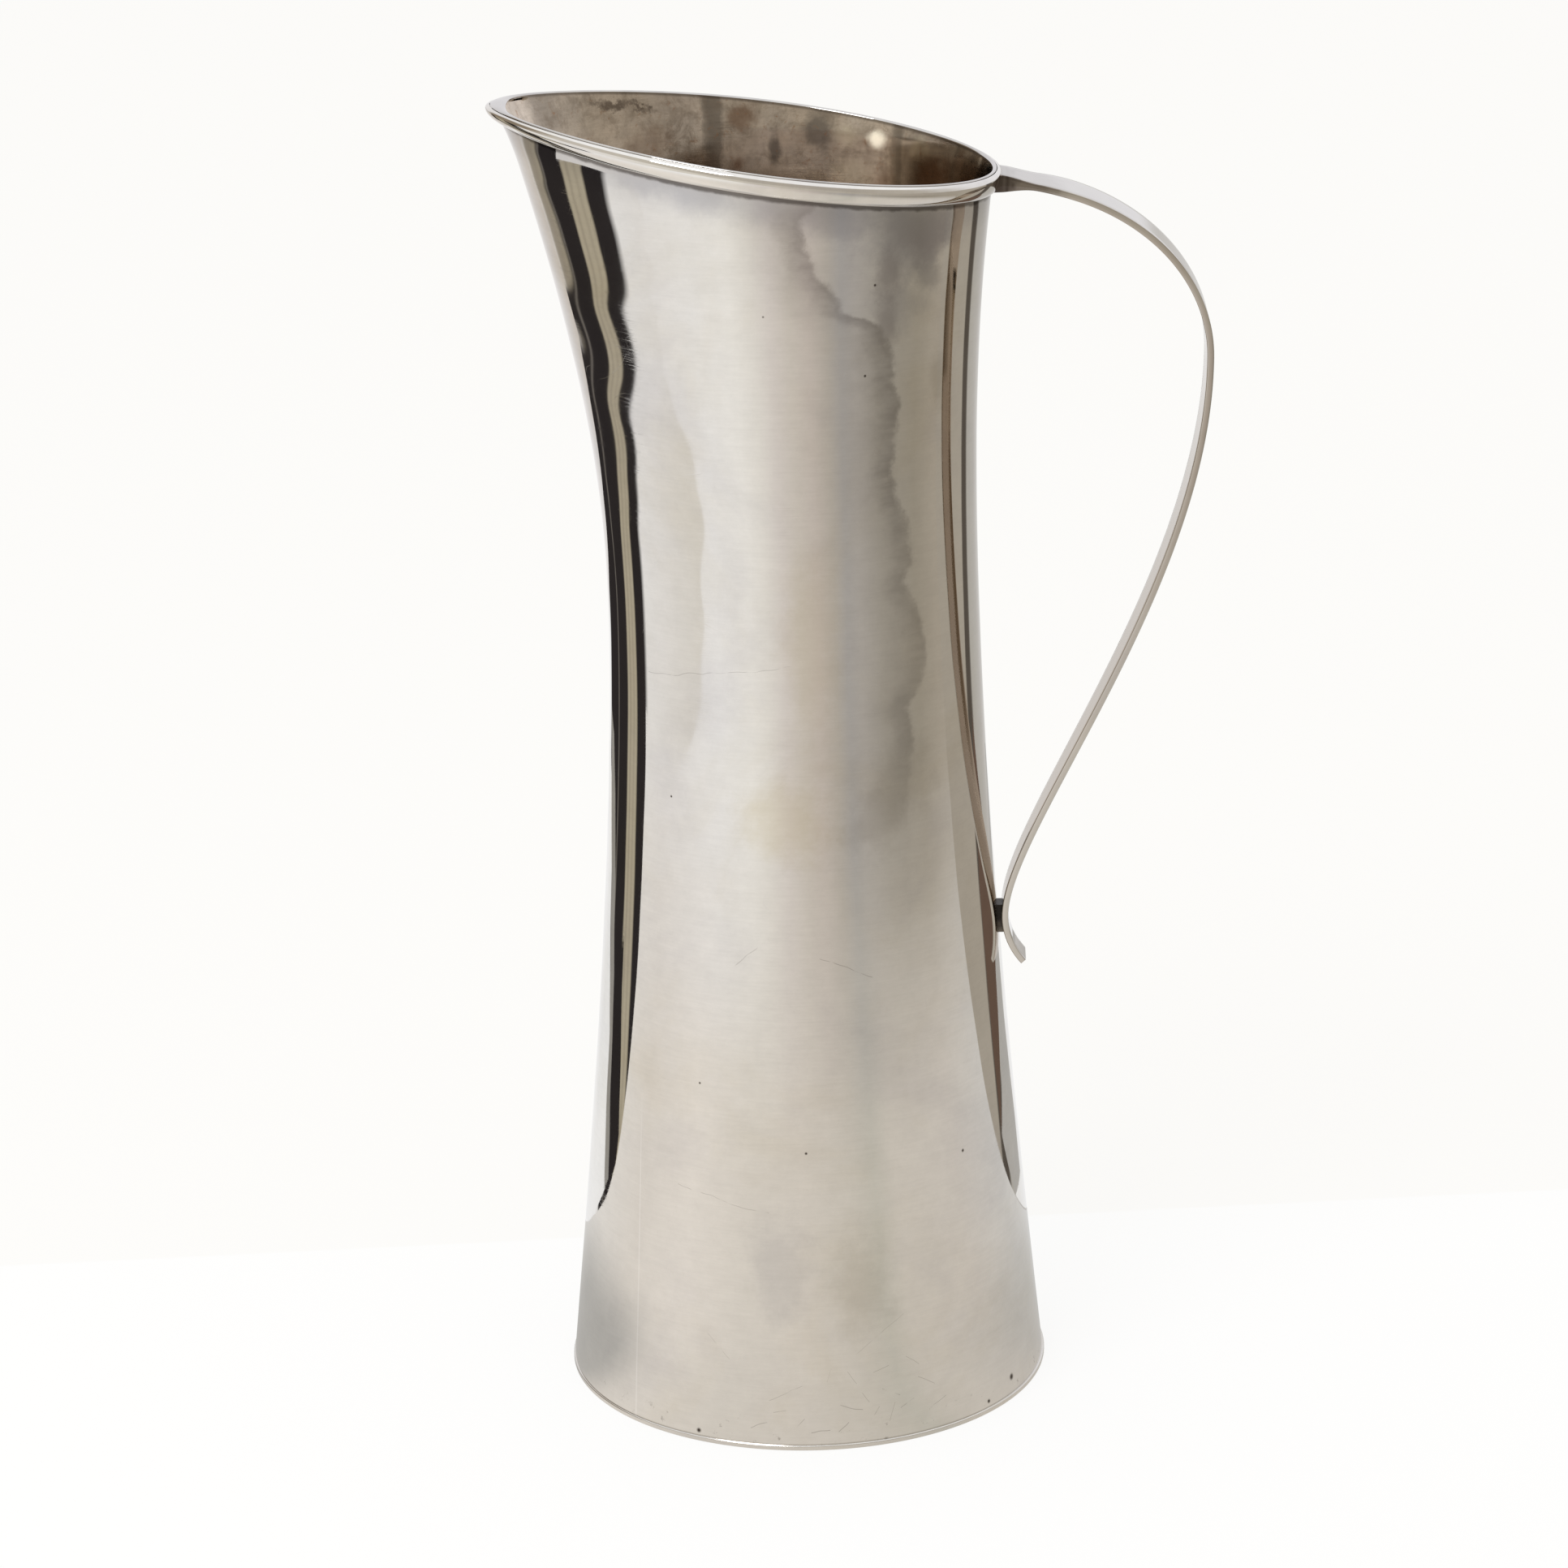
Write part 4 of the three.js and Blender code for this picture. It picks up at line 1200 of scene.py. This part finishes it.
class JUG_OT_stage(bpy.types.Operator):
    """Set up the pale table, the cards that the silver mirrors, the light and the camera"""

    bl_idname = "jug.stage"
    bl_label = "Stage"

    def execute(self, context):
        studio = context.scene.jug_studio
        self.add_floor(studio)
        self.add_table()
        self.add_card("white_card", WHITE_CARD, studio.white_card, 0.4)
        self.add_card("grey_card", GREY_CARD, studio.grey_card, 0.8)
        self.add_card("black_card", BLACK_CARD, studio.black_band, 1.0)
        self.add_card("dim_card", DIM_CARD, studio.dim_card, 0.8)
        self.add_card("brown_card", BROWN_CARD, studio.brown_card, 1.2)
        self.add_spout_card()
        self.add_room(studio)
        self.add_lamp()
        self.add_camera(studio)
        context.scene.view_settings.view_transform = "Standard"
        return {"FINISHED"}

    def new_sheet(self, name, points, faces=None):
        """A sheet on the stage, of points in millimetres: its object and the place on it."""
        mesh = bpy.data.meshes.new(name)
        whole = [tuple(range(len(points)))]
        mesh.from_pydata([[MM * c for c in point] for point in points], [], faces or whole)
        material, tree = new_material(name)
        mesh.materials.append(material)
        sheet = bpy.data.objects.new(name, mesh)
        bpy.context.scene.collection.objects.link(sheet)
        return sheet, signal(tree, "ShaderNodeTexCoord", "Object")

    def new_mirrored(self, name, points, faces=None):
        """A sheet that shows only in the silver: the place on it."""
        sheet, place = self.new_sheet(name, points, faces)
        sheet.visible_camera = False
        sheet.visible_diffuse = False
        sheet.visible_shadow = False
        return place

    def glow(self, shade):
        """Makes a sheet shine in the given shade."""
        show(shade.tree, add(shade.tree, "ShaderNodeEmission", {"Color": shade}))

    def direction(self, way):
        """The direction seen from the jug, in radians from the camera's side, and the parts of the way."""
        part = parts(way)
        return part["X"].sum("ARCTAN2", part["Y"] * -1.0), part

    def by_degrees(self, turn, stops):
        """Colours by direction, from a list of degrees and colours."""
        return ramp(turn / (2 * math.pi) + 0.5, [(degrees / 360 + 0.5, shade) for degrees, shade in stops])

    def add_floor(self, studio):
        """The pale floor that the camera sees, with the jug's soft shadow."""
        corners = [(-1, -1), (1, -1), (1, 1), (-1, 1)]
        floor, place = self.new_sheet(
            "floor", [(x * FLOOR_REACH, y * FLOOR_REACH, FLOOR_LIFT) for x, y in corners])
        floor.visible_glossy = False
        tree, spot = place.tree, parts(place)
        slant = spot["Y"] - spot["X"] * HORIZON_SLANT
        shade = blend(rgba(studio.table), rgba(studio.backdrop), rise(slant, *HORIZON))
        bright = signal(tree, "ShaderNodeLightPath", "Is Camera Ray") * (1.0 - studio.shadow)
        shaded = signal(tree, "ShaderNodeBsdfDiffuse", 0, {"Color": shade})
        glow = signal(tree, "ShaderNodeEmission", 0, {"Color": shade})
        show(tree, add(tree, "ShaderNodeMixShader", {0: bright, 1: shaded, 2: glow}))

    def add_table(self):
        """The table as the silver mirrors it: bright on the left, dimmer on the right."""
        place = self.new_mirrored("table", [(x, y, TABLE_LIFT) for x, y in TABLE_TOP])
        turn, _ = self.direction(place)
        far = far_out(place)
        near, lit = self.by_degrees(turn, CLOSE_BY), self.by_degrees(turn, ROUND_ABOUT)
        foot = rise(far, 0.165, 0.085) * self.by_degrees(turn, FOOT_SHADE)
        self.glow(blend(blend(near, lit, rise(far, 0.30, 0.75)), FOOT_GREY, foot))

    def add_card(self, name, outline, shade, lift):
        """A card that lies behind the jug and shows only in the silver."""
        place = self.new_mirrored(name, [(x, y, lift) for x, y in outline])
        mottled = ramp(noise_at(place, 0.15, 3.0), [(0.3, 0.88), (0.7, 1.0)])
        self.glow(blend(mottled, rgba(shade), 1.0, "MULTIPLY"))

    def add_spout_card(self):
        """A pale card that stands behind the spout and shows only in the silver."""
        points = [(x, y, z) for (x, y), low, _ in SPOUT_CARD for z in (low, SPOUT_CARD_TOP)]
        faces = [(2 * i, 2 * i + 2, 2 * i + 3, 2 * i + 1) for i in range(len(SPOUT_CARD) - 1)]
        place = self.new_mirrored("spout_card", points, faces)
        left = SPOUT_CARD[0][0][0]
        span = SPOUT_CARD[-1][0][0] - left
        share = (parts(place)["X"] - left * MM) / (span * MM)
        self.glow(ramp(share, [((x - left) / span, tint) for (x, _), _, tint in SPOUT_CARD]))

    def add_room(self, studio):
        """The room: white to the camera, with dark and tan bands low on the left and dim walls in front."""
        world = bpy.data.worlds.new("room")
        bpy.context.scene.world = world
        world.use_nodes = True
        tree = world.node_tree
        tree.nodes.clear()
        turn, part = self.direction(signal(tree, "ShaderNodeTexCoord", "Generated"))
        up = part["Z"]
        on_left = part["X"].sum("LESS_THAN", 0.0)
        slid = turn - rise(up, -0.29, -0.385) * on_left * math.radians(22.5)
        black, tan, brown = (tuple(c) for c in (studio.black_band, studio.tan_band, studio.brown_band))
        streak, dim = (0.46, 0.42, 0.37), (0.20, 0.17, 0.13)
        low = self.by_degrees(slid, [
            (-180, 1.0), (-168, 1.0), (-160, black), (-140.2, black), (-139.6, streak), (-139, black),
            (-124.5, black), (-123.8, tan), (-121.5, tan), (-121.2, dim), (-120.8, tan), (-117.6, tan),
            (-117.1, dim), (-116.6, tan), (-113.8, tan), (-113.2, black), (-103, black),
            (-102.3, (0.88, 0.87, 0.86)), *FRONT_OF_ROOM, (131, (0.42, 0.38, 0.32)), (132, brown),
            (139, brown), (140, (0.46, 0.44, 0.40)), (156, (0.52, 0.50, 0.47)),
            (165, (0.60, 0.58, 0.56)), (176, (0.72, 0.71, 0.69))])
        limit = rise(up, -0.285, -0.375) * 0.33 - 2.79
        low = blend(low, self.by_degrees(turn, EDGE_OF_BANDS), rise(limit - slid, -0.03, 0.03))
        room = blend(low, self.by_degrees(turn, UPPER_ROOM), rise(up, -0.03, 0.03))
        room = blend(room, rgba(studio.ceiling), rise(up, 0.55, 0.75))
        mirrored = signal(tree, "ShaderNodeLightPath", "Is Glossy Ray")
        seen = blend(rgba(studio.backdrop), room, mirrored)
        light = add(tree, "ShaderNodeBackground", {"Color": seen, "Strength": 1.0})
        show(tree, light, "ShaderNodeOutputWorld")

    def add_lamp(self):
        """One wide soft lamp over the left shoulder of the camera."""
        lamp = bpy.data.lights.new("soft_lamp", "AREA")
        lamp.energy = LAMP_POWER
        lamp.shape = "RECTANGLE"
        lamp.size, lamp.size_y = LAMP_SIDES
        carrier = bpy.data.objects.new("soft_lamp", lamp)
        carrier.location = LAMP_PLACE
        aim = LAMP_AIM - carrier.location
        carrier.rotation_euler = aim.to_track_quat("-Z", "Y").to_euler()
        bpy.context.scene.collection.objects.link(carrier)

    def add_camera(self, studio):
        """The camera, placed and aimed by the studio's sizes."""
        turn, pitch, roll = studio.camera_turn, studio.camera_pitch, studio.camera_roll
        back = Vector((math.sin(turn) * math.cos(pitch), -math.cos(turn) * math.cos(pitch), math.sin(pitch)))
        right = Vector((math.cos(turn), math.sin(turn), 0.0))
        up = back.cross(right)
        spot = right * studio.aim_right + Vector((0, 0, studio.aim_height)) + back * studio.camera_distance
        tilted_right = math.cos(roll) * right + math.sin(roll) * up
        tilted_up = -math.sin(roll) * right + math.cos(roll) * up
        lens = bpy.data.cameras.new("camera")
        lens.lens = studio.lens
        lens.sensor_width = FILM_WIDTH
        lens.clip_start = NEAREST_SEEN
        camera = bpy.data.objects.new("camera", lens)
        axes = Matrix((tilted_right, tilted_up, back)).transposed()
        camera.matrix_world = Matrix.Translation(spot) @ axes.to_4x4()
        bpy.context.scene.collection.objects.link(camera)
        bpy.context.scene.camera = camera


class JUG_PT_sidebar(bpy.types.Panel):
    """The jug's pieces and their sizes in the sidebar"""

    bl_idname = "JUG_PT_sidebar"
    bl_label = "Silver Jug"
    bl_space_type = "VIEW_3D"
    bl_region_type = "UI"
    bl_category = "Silver Jug"

    def draw(self, context):
        for step in BUILD_ORDER:
            self.layout.operator(step)
        for group in (context.scene.jug_sizes, context.scene.jug_finish, context.scene.jug_studio):
            box = self.layout.box()
            for key in group.__annotations__:
                box.prop(group, key)


BUILD_ORDER = ("jug.stage", "jug.effects", "jug.body", "jug.base_plate", "jug.rim_wire", "jug.handle",
               "jug.handle_pad")
CLASSES = (JugSizes, JugFinish, JugStudio, JUG_OT_effects, JUG_OT_body, JUG_OT_base_plate, JUG_OT_rim_wire,
           JUG_OT_handle, JUG_OT_handle_pad, JUG_OT_stage, JUG_PT_sidebar)


def register():
    for kind in CLASSES:
        bpy.utils.register_class(kind)
    bpy.types.Scene.jug_sizes = PointerProperty(type=JugSizes)
    bpy.types.Scene.jug_finish = PointerProperty(type=JugFinish)
    bpy.types.Scene.jug_studio = PointerProperty(type=JugStudio)


def unregister():
    del bpy.types.Scene.jug_studio
    del bpy.types.Scene.jug_finish
    del bpy.types.Scene.jug_sizes
    for kind in reversed(CLASSES):
        bpy.utils.unregister_class(kind)


def main():
    """Builds the jug and its stage."""
    register()
    bpy.ops.jug.stage()
    bpy.ops.jug.effects()
    bpy.ops.jug.body()
    bpy.ops.jug.base_plate()
    bpy.ops.jug.rim_wire()
    bpy.ops.jug.handle()
    bpy.ops.jug.handle_pad()


if __name__ == "__main__":
    main()
